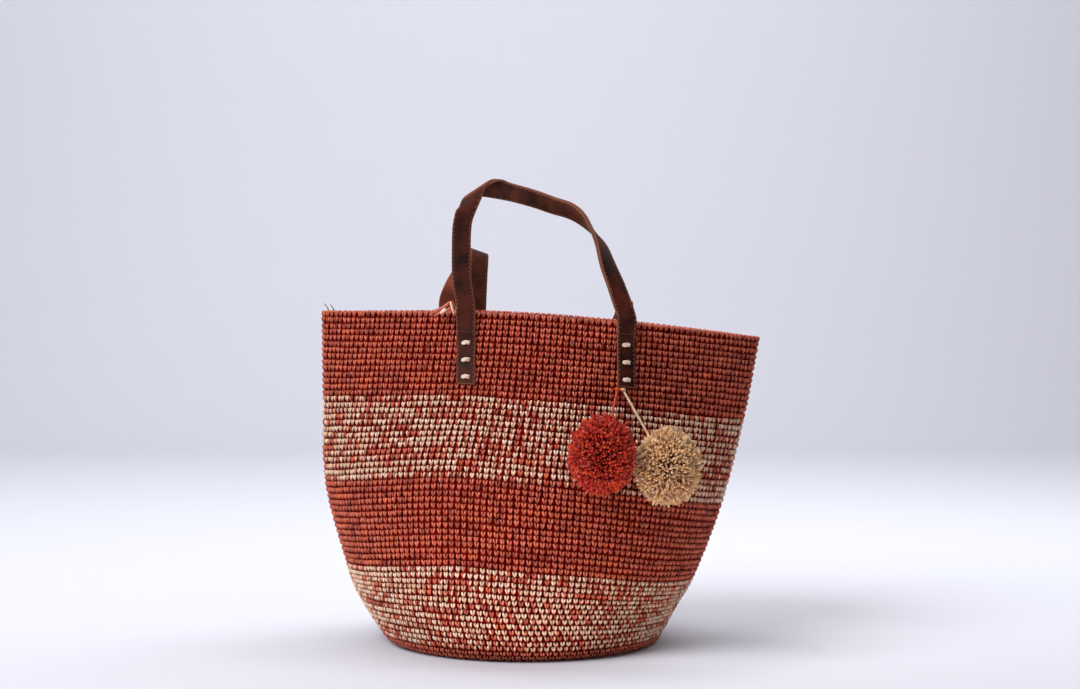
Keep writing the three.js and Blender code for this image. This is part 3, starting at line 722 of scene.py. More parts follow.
# The legs of a stitch, from foot to head
LEG_STEPS = np.array([0.0, 0.2, 0.45, 0.7, 0.9, 1.0])
LEG_WIDTHS = np.array([0.48, 0.68, 0.82, 0.7])  # of a quarter stitch
LEG_HEIGHTS = np.array([1.0, 1.4, 1.6, 1.2]) * MM
LEG_DEPTHS = np.array([-3.2, -2.1, -1.5, -1.05, -1.3, -2.6]) * MM
LEG_SHADOWS = np.array([1.0, 0.9, 0.55, 0.15, 0.05, 0.6])
# painted shade: how far the legs darken towards their undersides
LEG_PAINTED_UNDERSHADE = 1.7
LEG_FOOT = -0.56  # of a row, from its middle
LEG_RISE = 1.04
LEG_APART_FOOT = 0.02  # of a stitch, from its middle
LEG_APART_HEAD = 0.255

# Spread of what differs from stitch to stitch
STITCH_SHIFT = 0.045  # of a stitch
LEG_SHIFT = 0.025
LEG_LIFT = 0.04  # of a row
ROW_WOBBLE = 0.05
DEPTH_SPREAD = 0.18 * MM
WIDTH_SPREAD = 0.07
SHADE = 0.5
SHADE_SPREAD = 0.24
SHADE_DRIFT = 0.12
WOBBLE_RUN = 30.0  # legs over which each is smoothed
SHADE_RUN = 12.0
CREAM_RUN = 9.0
CREAM_SLOPE = 0.8
SPECKLE = (1.2, 3.0)  # of single legs, against the cream runs
RIM_GAP = 0.6 * MM


def slow_noise(count, run):
    """Noise round a closed row, smoothed over a run of places, with a spread of one and a mean of none.
    A row shorter than the run gets none."""
    wave = np.arange(count // 2 + 1) / count * run
    noise = np.fft.irfft(np.fft.rfft(rng.standard_normal(count)) * np.exp(-wave * wave), count)
    return (noise - noise.mean()) / max(noise.std(), 0.01)


def cream_runs(count, share):
    """How cream each place of a round is: noise smoothed over a few places, cut to give the share."""
    if not share:
        return np.zeros(count)
    noise = slow_noise(count, CREAM_RUN) + rng.uniform(*SPECKLE) * rng.standard_normal(count)
    return np.clip(0.5 + CREAM_SLOPE * (noise - np.quantile(noise, 1 - share)), 0, 1)


def pairs(count):
    """Two strands a stitch: the middle of each strand's stitch, in stitches, and its side, -1 or 1."""
    strand = np.arange(2 * count)[:, None]
    return strand // 2 + 0.5, strand % 2 * 2.0 - 1


def row_legs(surface, middle, height, count, girth, cream):
    """One round of stitches. A leg leaves the middle line of its stitch at the foot and spreads to the
    head: sideways = ±(foot + (head - foot) t), up = rise t. It dives below the surface at both ends."""
    legs = 2 * count
    stitch, sign = pairs(count)
    apart = LEG_APART_FOOT + (LEG_APART_HEAD - LEG_APART_FOOT) * LEG_STEPS
    sideways, upwards, thick = np.moveaxis(rng.normal(0, 1, (legs, 3, 1)), 1, 0)
    shift = np.repeat(rng.normal(0, STITCH_SHIFT, count), 2)[:, None]
    wobble = slow_noise(legs, WOBBLE_RUN)[:, None]
    share = (stitch + sign * apart + shift + LEG_SHIFT * sideways) / count
    rise = LEG_FOOT + LEG_RISE * LEG_STEPS + LEG_LIFT * upwards + ROW_WOBBLE * wobble
    point, out = surface(share, np.clip(middle + height * rise, 0, WALL_LENGTH - RIM_GAP))
    depth = LEG_DEPTHS - DEPTH_SPREAD * np.abs(thick)
    width = girth / count / 4 * LEG_WIDTHS * (1 + WIDTH_SPREAD * thick)
    colour = cream_runs(legs, cream)
    shade = SHADE + SHADE_SPREAD * rng.normal(0, 1, legs) + SHADE_DRIFT * slow_noise(legs, SHADE_RUN)
    tint = np.stack([colour, np.clip(shade, 0, 1)], -1)
    return point + out * depth[..., None], out, width, tint


def stitches(surface, rows):
    """Rounds of stitches as one shell. A row is (middle, height, count, girth, share of cream)."""
    parts = [row_legs(surface, *row) for row in rows]
    middles, outs, widths, tints = (np.concatenate(part) for part in zip(*parts))
    return strands(middles, outs, widths, LEG_HEIGHTS, tints, LEG_SHADOWS, CROWNED, LEG_PAINTED_UNDERSHADE)


def girth_at(along):
    """Length of a round of the wall."""
    return run_length(wall(np.linspace(0, 1, 241), along))[-1]


# The inside: a bump for each stitch, and a core under the outer stitches, painted dark as the shade
# between them
STEPS_PER_ROW = 4
INNER_RIM_GAP = 1.6 * MM
BUMP_POWER = 0.6
BUMP_HEIGHT = 1.1 * MM
BUMP_SHADOW = 0.9
BUMP_FOOT = WALL - 1.2 * MM
BUMP_DIP = 0.6  # of a bump, between two stitches
CORE_DEPTH = 2.9 * MM
CORE_CORD = 0.8 * MM
CORE_DIP = 0.2


def inner_side(start, end, rows, cream):
    """The inside of a band: a bump for each stitch, |sin| up the wall times a wave along it. The other
    face lies under the outer stitches and swells to a cord between the rounds, |cos| up the wall."""
    columns = STITCHES * 2
    steps = rows * STEPS_PER_ROW
    up = np.minimum(np.linspace(start, end, steps + 1), WALL_LENGTH - INNER_RIM_GAP)
    course = np.pi * np.arange(steps + 1)[:, None] / STEPS_PER_ROW
    odd = np.arange(columns) % 2
    cord = np.abs(np.cos(course)) * (1 - CORE_DIP + CORE_DIP * odd)
    bump = np.abs(np.sin(course)) ** BUMP_POWER * (1 - BUMP_DIP + BUMP_DIP * odd)
    point, out = wall_surface(np.arange(columns) / columns, up[:, None])
    core = point - out * (CORE_DEPTH - CORE_CORD * cord)[..., None]
    inside = point - out * (BUMP_FOOT + BUMP_HEIGHT * bump)[..., None]
    shades = rng.uniform(0, 1, (rows, STITCHES))
    creams = np.stack([cream_runs(STITCHES, share) for share in cream])
    row_of = np.minimum(np.arange(steps + 1) // STEPS_PER_ROW, rows - 1)
    stitch_of = np.arange(columns) // 2
    shade = shades[row_of][:, stitch_of]
    # painted shade: the core is fully darkened, and the inside bumps darker between stitches
    core_yarn = np.stack([0 * shade, shade, 0 * shade + 1], -1)
    inside_yarn = np.stack([creams[row_of][:, stitch_of], shade, BUMP_SHADOW * (1 - bump)], -1)
    points = np.concatenate([core, inside[::-1]])
    return closed_grid(points, np.concatenate([core_yarn, inside_yarn[::-1]]))


def stitch_count(row):
    """Stitches in a round of the wall, which widen over the first rounds."""
    return round(STITCHES * (FIRST_SHARE + (1 - FIRST_SHARE) * min(1, row / FULL_ROW)))


def add_band(node, slot, start, end, rows, first_row, cream, lip=0):
    """The stitched outer face and the inside of one band. The inside runs on for lip more rounds."""
    height = (end - start) / rows
    middles = [start + (i + 0.5) * height for i in range(rows)]
    legs = stitches(wall_surface, [
        (middle, height, stitch_count(first_row + i), girth_at(middle), cream[i])
        for i, middle in enumerate(middles)
    ])
    inner = inner_side(start, end + lip * height, rows + lip, cream)
    tie(add_piece(f"{node}_stitches", [legs], rust_raffia), "bag", slot, node)
    tie(add_piece(f"{node}_inside", [inner], inside_raffia), "bag", slot)


EDGING_FOOT = WALL_LENGTH - EDGING_WIDTH
add_band("heel_band", "rust_raffia", 0.0, SEAMS[0], HEEL_ROWS, 0, PLAIN[:HEEL_ROWS])
add_band("lower_mottled_band", "mottled_raffia", SEAMS[0], SEAMS[1], ROWS_PER_BAND, 3, LOWER_CREAM)
add_band("middle_rust_band", "rust_raffia", SEAMS[1], SEAMS[2], ROWS_PER_BAND, 17, PLAIN)
add_band("upper_mottled_band", "mottled_raffia", SEAMS[2], SEAMS[3], ROWS_PER_BAND, 31, UPPER_CREAM)
add_band("top_rust_band", "rust_raffia", SEAMS[3], EDGING_FOOT, TOP_ROWS, 45, PLAIN, lip=1)


def add_edging():
    """The last round: stitches on both faces, and a chain along the top edge. A link of the chain is one
    strand that runs along the edge and slants across it."""
    middle = WALL_LENGTH - EDGING_WIDTH / 2
    row = (middle, EDGING_WIDTH, STITCHES, girth_at(middle), 0.0)
    faces = [stitches(surface, [row]) for surface in (wall_surface, inner_surface)]
    links = 2 * STITCHES
    steps = np.linspace(-0.6, 0.6, 6)  # of a stitch
    rise = np.array([-2.6, -1.4, -0.75, -0.7, -1.3, -2.6]) * MM
    radii = np.array([0.7, 1.05, 1.05, 0.7]) * MM
    shadows = np.array([1.0, 0.6, 0, 0, 0.6, 1.0])
    apart = 0.95 * MM
    slant = 0.35 * MM
    spread = 0.04  # of a stitch
    shift = rng.normal(0, spread, (links, 1))
    stitch, hand = pairs(STITCHES)
    point, out, up, _ = wall_frame((stitch + steps + shift) / STITCHES, WALL_LENGTH)
    sideways = -WALL / 2 - hand * (apart + slant * np.sin(np.pi * steps))
    middles = point + out * sideways[..., None] + up * rise[:, None]
    tint = np.stack([np.zeros(links), rng.uniform(0, 1, links)], -1)
    # painted shade: the chain's strands darken towards their undersides and buried ends
    chain = strands(middles, up, radii, radii, tint, shadows, under=0.9)
    tie(add_piece("rim_edging_loops", [*faces, chain], rust_raffia), "bag", "rust_raffia", "rim_edging")


def add_base():
    """Rounds of stitches on the underside, and a floor of rings of bumps inside: |sin| of the radius
    times |cos| of the angle."""
    edge = BASE_RADIUS - FIT
    pitch = edge / BASE_ROUNDS
    columns = 264
    core_rings = 8
    fewest = 5  # stitches in a round
    hole = 0.2 * MM
    core = 2.2 * MM
    dip = 0.4  # of a bump, between two stitches
    middles = (np.arange(BASE_ROUNDS) + 0.5) * pitch
    girths = TURN * middles
    rows = [
        (middle, pitch, max(fewest, round(girth / pitch)), girth, 0.0)
        for middle, girth in zip(middles, girths)
    ]
    radius = np.linspace(hole, BASE_RADIUS - WALL, BASE_ROUNDS * STEPS_PER_ROW + 1)[:, None]
    share = np.arange(columns) / columns
    spokes = np.maximum(fewest, np.round(TURN * radius / pitch))
    bump = 1 - dip + dip * np.abs(np.cos(np.pi * spokes * share))
    bump = np.abs(np.sin(np.pi * radius / pitch)) ** BUMP_POWER * bump
    points = np.concatenate([
        polar(radius, share, WALL - BUMP_HEIGHT * (1 - bump)),
        polar(np.linspace(edge, hole, core_rings)[:, None], share, core),
    ])
    # painted shade: the core under the underside's stitches is fully darkened, and the floor's bumps
    # darker between stitches
    yarn = np.ones(points.shape) * [0, BASE_SHADE, 1]
    yarn[: len(radius), :, 2] = BUMP_SHADOW * (1 - bump)
    underside = add_piece("base_stitches", [stitches(base_surface, rows)], rust_raffia)
    tie(underside, "bag", "rust_raffia", "base_disc")
    tie(add_piece("base_inside", [closed_grid(points, yarn)], inside_raffia), "bag", "rust_raffia")


add_edging()
add_base()


# Leather handles, as in the part's source
STRAP_WIDTH = 17.5 * MM
STRAP_THICKNESS = 2.2 * MM
LINING_THICKNESS = 1.5 * MM
TAB_LENGTHS = np.array([68, 60]) * MM
SEAM_HEIGHT = 48.5 * MM
SEAM_RAMP = 8 * MM
HINGE_RISE = 3 * MM
FRONT_LEGS = np.array([-51.5, 92.5]) * MM
BACK_LEGS = np.array([-46, 97]) * MM
FOLD_RADIUS = 5.5 * MM
LAYERS = 2 * FIT + LINING_THICKNESS + STRAP_THICKNESS / 2

# Places of the free straps as (share of the way along the fold line, back, up, roll) in millimetres and
# degrees. A fold turns the strap over backwards on a crease.
FRONT_ROUTE = [
    (-0.028, 7, 25, 180),
    (-0.033, 14.5, 51, 180),
    (-0.03, 21, 73, 180),
    (-0.016, 24.5, 84.5, 180),
    (0.026, 29, 99, {"crease": 33.6, "lean": 17}),
    (0.277, 43, 109, 26),
    (0.438, 45, 104, 33),
    (0.542, 44, 99.5, 36),
    (0.657, 38.5, 95, 43),
    (0.733, 33, 88, 62),
    (0.796, 26, 77, 90),
    (0.843, 21, 66, 115),
    (0.888, 14, 46, 138),
    (0.932, 8.5, 29.5, 150),
    (0.967, 4, 14.5, 160),
]
BACK_ROUTE = [
    (0.004, 0, 16, 0),
    (0.01, 0, 34, 0),
    (0.014, 0, 46, {"crease": -20, "lean": 0}),
    (-0.085, 14, 37, 180),
    (-0.165, 22, 19, 180),
    (-0.215, 30, -1, 180),
    (-0.19, 38, -18, 200),
    (-0.03, 46, -28, 255),
    (0.32, 48, -30, 270),
    (0.7, 47, -27, 270),
    (0.93, 38, -16, 225),
    (1, 26, 0, "level"),
    (1, 15, 10, "level"),
    (1, 5, 11, "level"),
]
TAB_STEPS = 70
STRETCH_STEPS = 16
FOLD_TURNS = np.radians([0, 45, 90, 135, 180])[:, None]
STRAP_STEP = 1.0 * MM
SMOOTHING = 7
SOFT = np.array([1, 4, 6, 4, 1]) / 16
SHORTEST = 1e-4  # of a gap's root


def handle_side(front, legs):
    """Fold line of one handle: its two ends, the rim's directions there and the strap's stand-off."""
    point, out, up, _ = wall_frame(wall_at_x(front, legs, WALL_LENGTH), WALL_LENGTH)
    stand_off = STRAP_WIDTH / 2 * np.abs(out @ unit(point[1] - point[0]))
    hinges = point + out * (LAYERS + stand_off)[:, None] + up * HINGE_RISE
    return {
        "front": front,
        "legs": legs,
        "hinges": hinges,
        "axis": unit(hinges[1] - hinges[0]),
        "stand_off": stand_off,
        "half": (1 if front else -1) * STRAP_WIDTH / 2,
    }


def tab_line(side, leg):
    """Middle line of a laced end, from its foot to the rim, with the half-width vectors across it."""
    seam = TAB_LENGTHS[leg] - SEAM_HEIGHT
    below = np.linspace(TAB_LENGTHS[leg], 0, TAB_STEPS)
    along = WALL_LENGTH - below
    point, out, _, level = wall_frame(wall_at_x(side["front"], side["legs"][leg], along), along)
    lift = np.maximum(0, 1 - below / seam)[:, None]
    across = unit(level * (1 - lift) + side["axis"] * lift)
    over_lining = (FIT + LINING_THICKNESS) * ease((seam + SEAM_RAMP - below) / SEAM_RAMP)
    height = side["stand_off"][leg] * lift[:, 0] + FIT + STRAP_THICKNESS / 2 + over_lining
    return point + out * height[:, None], across * side["half"]


def catmull_rom(points, per_stretch):
    """Centripetal Catmull-Rom curve through points, worked out in millimetres."""
    p = np.concatenate([[2 * points[0] - points[1]], points, [2 * points[-1] - points[-2]]]) / MM
    gaps = np.linalg.norm(np.diff(p, axis=0), axis=1)[:, None] ** 0.5
    d1 = np.where(gaps[1:-1] < SHORTEST, 1.0, gaps[1:-1])
    d0 = np.where(gaps[:-2] < SHORTEST, d1, gaps[:-2])
    d2 = np.where(gaps[2:] < SHORTEST, d1, gaps[2:])
    p0, p1, p2, p3 = p[:-3], p[1:-2], p[2:-1], p[3:]
    t1 = ((p1 - p0) / d0 - (p2 - p0) / (d0 + d1) + (p2 - p1) / d1) * d1
    t2 = ((p2 - p1) / d1 - (p3 - p1) / (d1 + d2) + (p3 - p2) / d2) * d1
    f = (np.arange(per_stretch) / per_stretch)[None, :, None]
    square = (3 * (p2 - p1) - 2 * t1 - t2)[:, None]
    cube = (2 * (p1 - p2) + t1 + t2)[:, None]
    curve = p1[:, None] + t1[:, None] * f + square * f**2 + cube * f**3
    return np.concatenate([curve.reshape(-1, 3), p[-2:-1]]) * MM


def fold_line(place, crease, lean, half):
    """Half turn about a slanting crease, and the half-width vectors along it."""
    slant = math.radians(crease)
    angle = math.radians(crease + lean)
    line = np.array([math.cos(slant), 0, math.sin(slant)])
    rise = np.array([-math.sin(slant), 0, math.cos(slant)])
    slide = line * FOLD_TURNS * math.tan(angle)
    turn = rise * np.sin(FOLD_TURNS) + np.array([0, 1, 0]) * (1 - np.cos(FOLD_TURNS))
    return place + FOLD_RADIUS * (slide + turn), np.tile(line * half / math.cos(angle), (len(turn), 1))


def strap_line(side, route):
    """Middle line of the free strap between the two fold lines, with its half-width vectors."""
    left, right = side["hinges"]
    places = [left + (right - left) * spot[0] + np.array([0, spot[1], spot[2]]) * MM for spot in route]
    stops = [left, *places, right]
    edge = side["axis"] * side["half"]
    middles = [left]
    across = [edge]
    for before, place, after, (*_, turn) in zip(stops, places, stops[2:], route):
        if isinstance(turn, dict):
            points, vectors = fold_line(place, half=side["half"], **turn)
            middles += [*points]
            across += [*vectors]
            continue
        along = unit(after - before)
        vector = np.array([1.0, 0.0, 0.0])
        if turn != "level":
            roll = math.radians(turn)
            vector = np.array([-along[2] * math.cos(roll), -math.sin(roll), along[0] * math.cos(roll)])
        middles.append(place)
        across.append(unit(vector - along * (vector @ along)) * STRAP_WIDTH / 2)
    lines = ([*middles, right], [*across, -edge])
    return [catmull_rom(np.array(points), STRETCH_STEPS) for points in lines]


def handle_line(side, route):
    """Middle line of the whole strap, up the left tab, round the handle and down the right tab, evenly
    spaced, with half-width vectors, outer face directions, and where the two seams lie along it."""
    left = tab_line(side, 0)
    right = tab_line(side, 1)
    strap = strap_line(side, route)
    middle = np.concatenate([left[0], strap[0], right[0][::-1]])
    across = np.concatenate([left[1], strap[1], -right[1][::-1]])
    length = run_length(middle)
    even = np.linspace(0, length[-1], round(length[-1] / STRAP_STEP) + 1)
    middle = at_length(even, length, middle)
    across = at_length(even, length, across)
    for _ in range(SMOOTHING):
        for line in (middle, across):
            padded = np.concatenate([2 * line[:1] - line[2:0:-1], line, 2 * line[-1:] - line[-2:-4:-1]])
            line[:] = sum(weight * padded[i:i + len(line)] for i, weight in enumerate(SOFT))
    return {
        "middle": middle,
        "across": across,
        "out": unit(np.cross(across, np.gradient(middle, axis=0))),
        "length": even,
        "seams": (SEAM_HEIGHT, even[-1] - SEAM_HEIGHT),
    }


# Section, wear and painted light of a strap, and its sewing
FACE_SHARE = 0.96  # of the half-width
CROWN = 0.16 * MM
FACE_DROP = 0.12 * MM
GROOVE = 0.14 * MM
GROOVE_SPREAD = 0.05
EDGE_ROUND = 0.045
EDGE_FLAT = 0.86
EDGE_TURNS = np.radians([60, 30, 0, -30, -60])
FRONT_PAINTED_LIGHT = np.array([176, 200]) * MM  # stretches painted pale as painted light, from the left foot
BACK_PAINTED_LIGHT = np.array([128, 215]) * MM
PAINTED_LIGHT_EASE = 12 * MM
PAINTED_LIGHT_GAIN = 1.2
WEAR_SPOTS = 40
STITCH_EDGE = 0.82
STITCH_PITCH = 3.9 * MM
STITCH_LENGTH = 2.7 * MM
CROSS_SPOTS = np.linspace(-0.74, 0.74, 6)
CROSS_LENGTH = 0.22
THREAD_STEPS = np.array([0, 0.2, 0.5, 0.8, 1.0])
THREAD_SINK = np.array([-0.45, -0.05, 0.08, -0.05, -0.45]) * MM
THREAD_WIDTHS = np.array([0.24, 0.3, 0.24]) * MM
THREAD_HEIGHTS = THREAD_WIDTHS * 0.8
THREAD_SHADOWS = np.array([1, 0.3, 0, 0.3, 1.0])
LINING_OVERLAP = 1 * MM
LINING_PROUD = 0.05 * MM
OUTER_ENDS = (2 * MM, 2 * MM)  # free of edge stitches
LINING_ENDS = (22 * MM, 16 * MM)


def strap_profile(thickness):
    """Section of a strap as (share of the half-width, height, cut edge): flat faces with a slight crown,
    a groove under the stitching and rounded cut edges."""
    side = np.linspace(-1, 1, 25)[1:-1] * FACE_SHARE
    groove = GROOVE * np.exp(-(((np.abs(side) - STITCH_EDGE) / GROOVE_SPREAD) ** 2))
    top = np.stack([side, thickness / 2 - FACE_DROP + CROWN * (1 - side**4) - groove, 0 * side], -1)
    edge_x = 1 - EDGE_ROUND + EDGE_ROUND * np.cos(EDGE_TURNS)
    edge_z = thickness / 2 * EDGE_FLAT * np.sin(EDGE_TURNS)
    edge = np.stack([edge_x, edge_z, np.ones(len(EDGE_TURNS))], -1)
    under = np.stack([-side, -thickness / 2 + 0 * side, 0 * side], -1)
    return np.concatenate([top, edge, under, edge[::-1] * [-1, 1, 1]])


def ribbon(line, first, last, thickness, height, painted_light):
    """A strap's section carried along a stretch of the handle's line, its ends closed by flat fans."""
    pick = (line["length"] >= first) & (line["length"] <= last)
    middle, across, out = (line[key][pick][:, None] for key in ("middle", "across", "out"))
    profile = strap_profile(thickness)
    rings = middle + across * profile[:, :1] + out * (height + profile[:, 1:2])
    rows, columns = rings.shape[:2]
    near = np.arange(columns // 2 - 1)
    far = columns - 1 - near
    fan = np.stack([near, near + 1, far - 1, far], -1)
    quads, uv = grid(rows, columns, False, True)
    quads = np.concatenate([quads, fan, (rows - 1) * columns + fan[:, ::-1]])
    uv = np.concatenate([uv, np.zeros((2 * len(fan), 4, 2))])
    where = line["length"][pick]
    spots = np.linspace(0, rows, WEAR_SPOTS)
    wear_and_painted_light = np.interp(np.arange(rows), spots, rng.uniform(0, 1, WEAR_SPOTS))
    # painted light: given stretches are lifted pale, standing in for light on the strap; the random spots
    # above are wear
    wear_and_painted_light = wear_and_painted_light + PAINTED_LIGHT_GAIN * ease((where - painted_light[0]) / PAINTED_LIGHT_EASE) * ease((painted_light[1] - where) / PAINTED_LIGHT_EASE)
    yarn = np.zeros((rows, columns, 3))
    yarn[..., 0] = wear_and_painted_light[:, None]
    yarn[..., 2] = profile[:, 2]
    yarn[[0, -1], :, 2] = 1.0
    return shell(rings, quads, uv, yarn)


def line_frame(line, where):
    """Point, half-width vectors and outward directions at given distances along the handle's line."""
    return (at_length(where, line["length"], line[key]) for key in ("middle", "across", "out"))


def sewing_strands(points, outs, shades):
    """Sewn stitches, one strand each, darkened with painted shade where they sink in."""
    tint = np.stack([np.zeros(len(shades)), shades], -1)
    return strands(points, outs, THREAD_WIDTHS, THREAD_HEIGHTS, tint, THREAD_SHADOWS)


def edge_threads(line, first, last, height):
    """Running stitches along both edges of a strap: short strands that sink in at both ends."""
    starts = np.arange(first, last - STITCH_LENGTH, STITCH_PITCH)
    middle, across, out = line_frame(line, starts[:, None] + STITCH_LENGTH * THREAD_STEPS)
    raised = middle + out * (height + THREAD_SINK * np.sign(height))[:, None]
    return [
        sewing_strands(raised + across * edge, out, rng.uniform(0, 1, len(starts)))
        for edge in (-STITCH_EDGE, STITCH_EDGE)
    ]


def cross_thread(line, where, height):
    """Stitches of the seam across a tab."""
    middle, across, out = line_frame(line, where)
    spots = CROSS_SPOTS[:, None] + CROSS_LENGTH * (THREAD_STEPS - 0.5)
    points = middle + across * spots[..., None] + out * (height + THREAD_SINK)[:, None]
    return sewing_strands(points, np.broadcast_to(out, points.shape), np.full(len(spots), 0.5))


def add_handle(name, side, route, painted_light):
    """Outer strap, lining and thread of one handle, their transforms baked into their meshes."""
    line = handle_line(side, route)
    first, last = line["seams"]
    end = line["length"][-1]
    lining_height = -(STRAP_THICKNESS + LINING_THICKNESS) / 2 - FIT / 2
    face = STRAP_THICKNESS / 2
    under = lining_height - LINING_THICKNESS / 2 - LINING_PROUD
    strap_shell = ribbon(line, 0, end, STRAP_THICKNESS, 0.0, painted_light)
    lining_shell = ribbon(
        line, first - LINING_OVERLAP, last + LINING_OVERLAP, LINING_THICKNESS, lining_height, painted_light)
    threads = edge_threads(line, OUTER_ENDS[0], end - OUTER_ENDS[1], face)
    threads += edge_threads(line, first + LINING_ENDS[0], last - LINING_ENDS[1], under)
    threads += [cross_thread(line, where, face) for where in line["seams"]]
    strap = add_piece(f"{name}_handle_strap", [strap_shell], strap_leather)
    lining = add_piece(f"{name}_handle_lining", [lining_shell], lining_leather)
    sewing = add_piece(f"{name}_handle_thread", threads, thread)
    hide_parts(f"{name}_strap", f"{name}_left_tab", f"{name}_right_tab")
    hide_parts(f"{name}_strap_lining", f"{name}_left_lining_end", f"{name}_right_lining_end")
    for piece, slot in ((strap, "leather"), (lining, "leather_lining"), (sewing, "leather")):
        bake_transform(piece)


LACES = np.array([6.5, 22.4, 38.3]) * MM
LACE_SPAN = 5.6 * MM
LACE_BEND = 2.0 * MM
LACE_PLY = 1.1 * MM
LACE_REACH = (0.475 * MM, 0.95 * MM)
LACE_PLIES = 3
LACE_TURNS = 2
LACE_PROUD = 0.25 * MM
LACE_TILT = (0.05, 0.2)
LACE_SHADES = (0.4, 0.9)
LACE_STEPS = 96


def lace_loop(frame_of, tilt):
    """Closed loop of lace through its two holes: a rounded rectangle in the plane of level and out."""
    point, out, _, level = frame_of
    outside = FIT + STRAP_THICKNESS + LACE_PLY + LACE_PROUD - LACE_BEND
    inside = -(WALL + LACE_PLY) + LACE_BEND
    reach = LACE_SPAN / 2 - LACE_BEND
    steps = np.linspace(0, 1, 9)
    line = []
    for i, corner in enumerate(((reach, outside), (-reach, outside), (-reach, inside), (reach, inside))):
        angle = (i + steps) * np.pi / 2
        line.append(corner + LACE_BEND * np.stack([np.cos(angle), np.sin(angle)], -1))
    closed = np.concatenate([*line, line[0][:1]])
    length = run_length(closed)
    flat = at_length(length[-1] * np.arange(LACE_STEPS) / LACE_STEPS, length, closed)
    slope = np.cross(out, level) * tilt
    return point + (level + slope) * flat[:, :1] + out * flat[:, 1:]


def add_laces(name, side, leg, hand):
    """Three lacing stitches, each of three plies, through one tab."""
    for i, height in enumerate(LACES):
        along = WALL_LENGTH - TAB_LENGTHS[leg] + height
        frame_of = wall_frame(wall_at_x(side["front"], side["legs"][leg], along), along)
        line = lace_loop(frame_of, rng.uniform(*LACE_TILT))
        tints = [(0.0, rng.uniform(*LACE_SHADES)) for _ in range(LACE_PLIES)]
        directions = square_to(loop_slope(line), frame_of[2])
        lace = plies(line, *directions, LACE_TURNS, LACE_REACH, LACE_PLY, tints, closed=True)
        node = f"{name}_{hand}_lace_{i + 1}"
        tie(add_piece(f"{node}_plies", lace, lace_cord), "bag", "lace", node)


front_side = handle_side(True, FRONT_LEGS)
back_side = handle_side(False, BACK_LEGS)
add_handle("front", front_side, FRONT_ROUTE, FRONT_PAINTED_LIGHT)
add_handle("back", back_side, BACK_ROUTE, BACK_PAINTED_LIGHT)
for name, side in (("front", front_side), ("back", back_side)):
    for leg, hand in enumerate(("left", "right")):
        add_laces(name, side, leg, hand)


# Loose yarn ends at the rim, as points of their lines in millimetres: x, y, z and half-width
LOOSE_STEPS = 5
LOOSE_FLAT = 0.4
RUST_ENDS = [
    [(-86, -80, 308, 0.9), (-80, -82.5, 312, 1.6), (-73, -84, 315, 1.7), (-67.5, -84, 319, 1.5),
     (-64, -81.5, 320, 1.2), (-62.5, -79, 314, 0.9)],
    [(-82, -80, 307, 0.8), (-76, -84, 310.5, 1.4), (-70, -85, 312, 1.5), (-65, -84, 315, 1.4),
     (-62, -81, 312, 0.9)],
]
CREAM_ENDS = [
    [(-75.5, -84, 309.5, 0.7), (-73.3, -86.4, 311.6, 1.5), (-71, -86.6, 313.4, 1.6),
     (-69, -84.5, 311.8, 0.8)],
    [(-62.8, -84.8, 309.5, 0.6), (-64, -86.2, 313.5, 1.0), (-65.3, -86.2, 318, 1.0),
     (-66, -85, 321, 0.5)],
]
DARK_ENDS = [
    [(-183, -9, 306, 0.4), (-184.5, -9.5, 312.5, 0.5), (-188.5, -10, 319, 0.3)],
    [(-179, -9, 306, 0.4), (-179.5, -9.5, 312.5, 0.5), (-183, -10, 318, 0.3)],
]


def loose_end(points, tint, depth=0.0):
    """A flat strip along a Catmull-Rom curve through a few points, thinning to both ends."""
    points = np.array(points, float)
    line = catmull_rom(points[:, :3] * MM, LOOSE_STEPS)
    spots = np.linspace(0, 1, len(line))
    half = np.interp(spots, np.linspace(0, 1, len(points)), points[:, 3])[1:-1] * MM
    outs = np.broadcast_to([0.0, -1.0, 0.0], line.shape)
    return strands(line[None], outs[None], half, half * LOOSE_FLAT, [tint], np.full(len(line), depth))


ends = [loose_end(points, (0.0, 0.6)) for points in RUST_ENDS]
ends += [loose_end(points, (1.0, 1.0)) for points in CREAM_ENDS]
ends += [loose_end(points, (0.0, 0.0), 1.0) for points in DARK_ENDS]
tie(add_piece("rim_loose_ends", ends, rust_raffia), "bag", "rust_raffia")


# Floor, backdrop and light
MIDDLE = (0.0, 0.0, 0.2)
SKY = (0.88, 0.89, 0.92, 1.0)
SKY_STRENGTH = 0.13


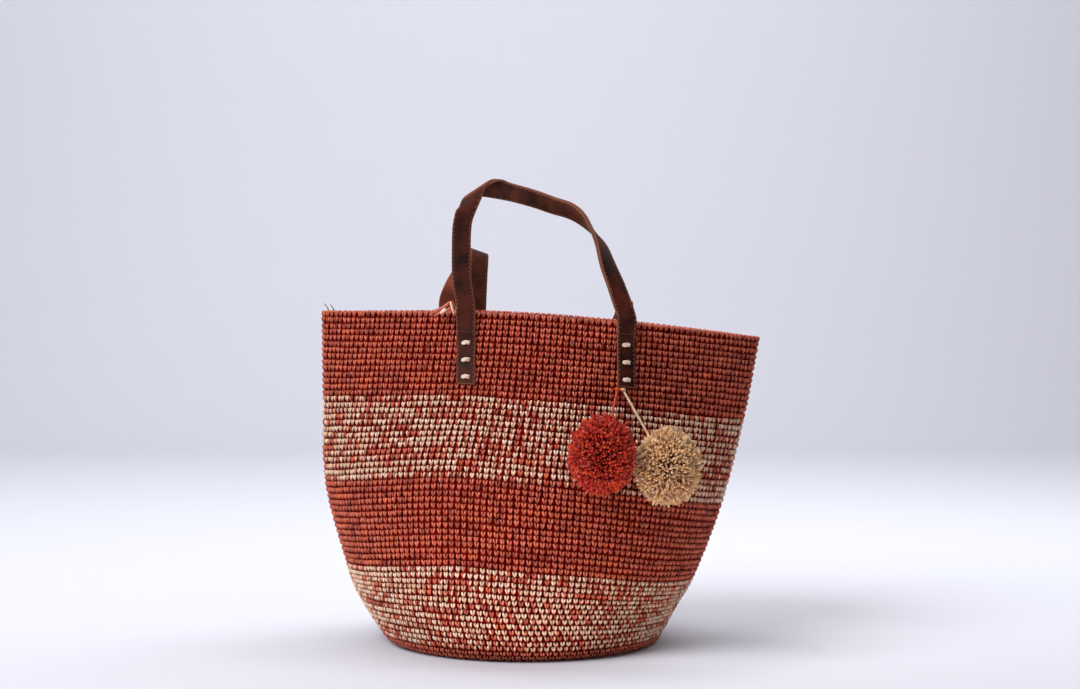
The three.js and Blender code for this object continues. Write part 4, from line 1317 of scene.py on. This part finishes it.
def add_stage():
    """A pale floor that curves up into a backdrop: a flat run, a quarter round and a wall."""
    front, run, radius, top, half_width = -9.0, 2.2, 1.0, 4.2, 12.0
    turn = np.linspace(0, np.pi / 2, 13)
    y = np.array([front, *(run + radius * np.sin(turn)), run + radius])[:, None]
    z = np.array([0.0, *(radius * (1 - np.cos(turn))), top])[:, None] - FIT  # clear of the base
    x = np.array([-half_width, half_width])
    vertices = np.stack(np.broadcast_arrays(x, y, z), -1).reshape(-1, 3)
    mesh = bpy.data.meshes.new("floor")
    mesh.from_pydata(vertices.tolist(), [], grid(len(y), len(x))[0].tolist())
    mesh.polygons.foreach_set("use_smooth", np.ones(len(mesh.polygons), bool))
    material, shader, start = new_material("floor")
    start.fill(shader, {"Base Color": linear(FLOOR), "Roughness": 0.9})
    mesh.materials.append(material)
    floor = bpy.data.objects.new("floor", mesh)
    scene.collection.objects.link(floor)


def add_lamp(name, place, target, size, power, colour=(1.0, 1.0, 1.0)):
    """A square soft lamp at a place, turned to a target."""
    lamp = bpy.data.lights.new(name, "AREA")
    lamp.color = colour
    lamp.size = size
    lamp.energy = power
    holder = bpy.data.objects.new(name, lamp)
    scene.collection.objects.link(holder)
    holder.visible_camera = False
    holder.location = place
    holder.rotation_euler = (Vector(place) - Vector(target)).to_track_quat("Z", "Y").to_euler()


add_stage()
add_lamp("key", (-1.8, -1.6, 2.3), MIDDLE, size=1.9, power=103)
add_lamp("fill", (1.6, -2.2, 1.0), MIDDLE, size=1.6, power=4, colour=(1.0, 0.84, 0.7))
add_lamp("bounce", (0, -0.4, 0.004), (0, -0.4, 1), size=0.5, power=1, colour=(1.0, 0.82, 0.68))
add_lamp("backdrop", (0, 0.6, 2.4), (0, 2.6, 0.8), size=2, power=57)
add_lamp("floor", (1.0, 0.6, 1.3), (0.45, -0.05, 0), size=0.9, power=6.5)
world = bpy.data.worlds.new("studio")
world.use_nodes = True
sky = world.node_tree.nodes["Background"]
Socket(world.node_tree).fill(sky, {"Color": SKY, "Strength": SKY_STRENGTH})
scene.world = world
scene.view_settings.view_transform = "Standard"
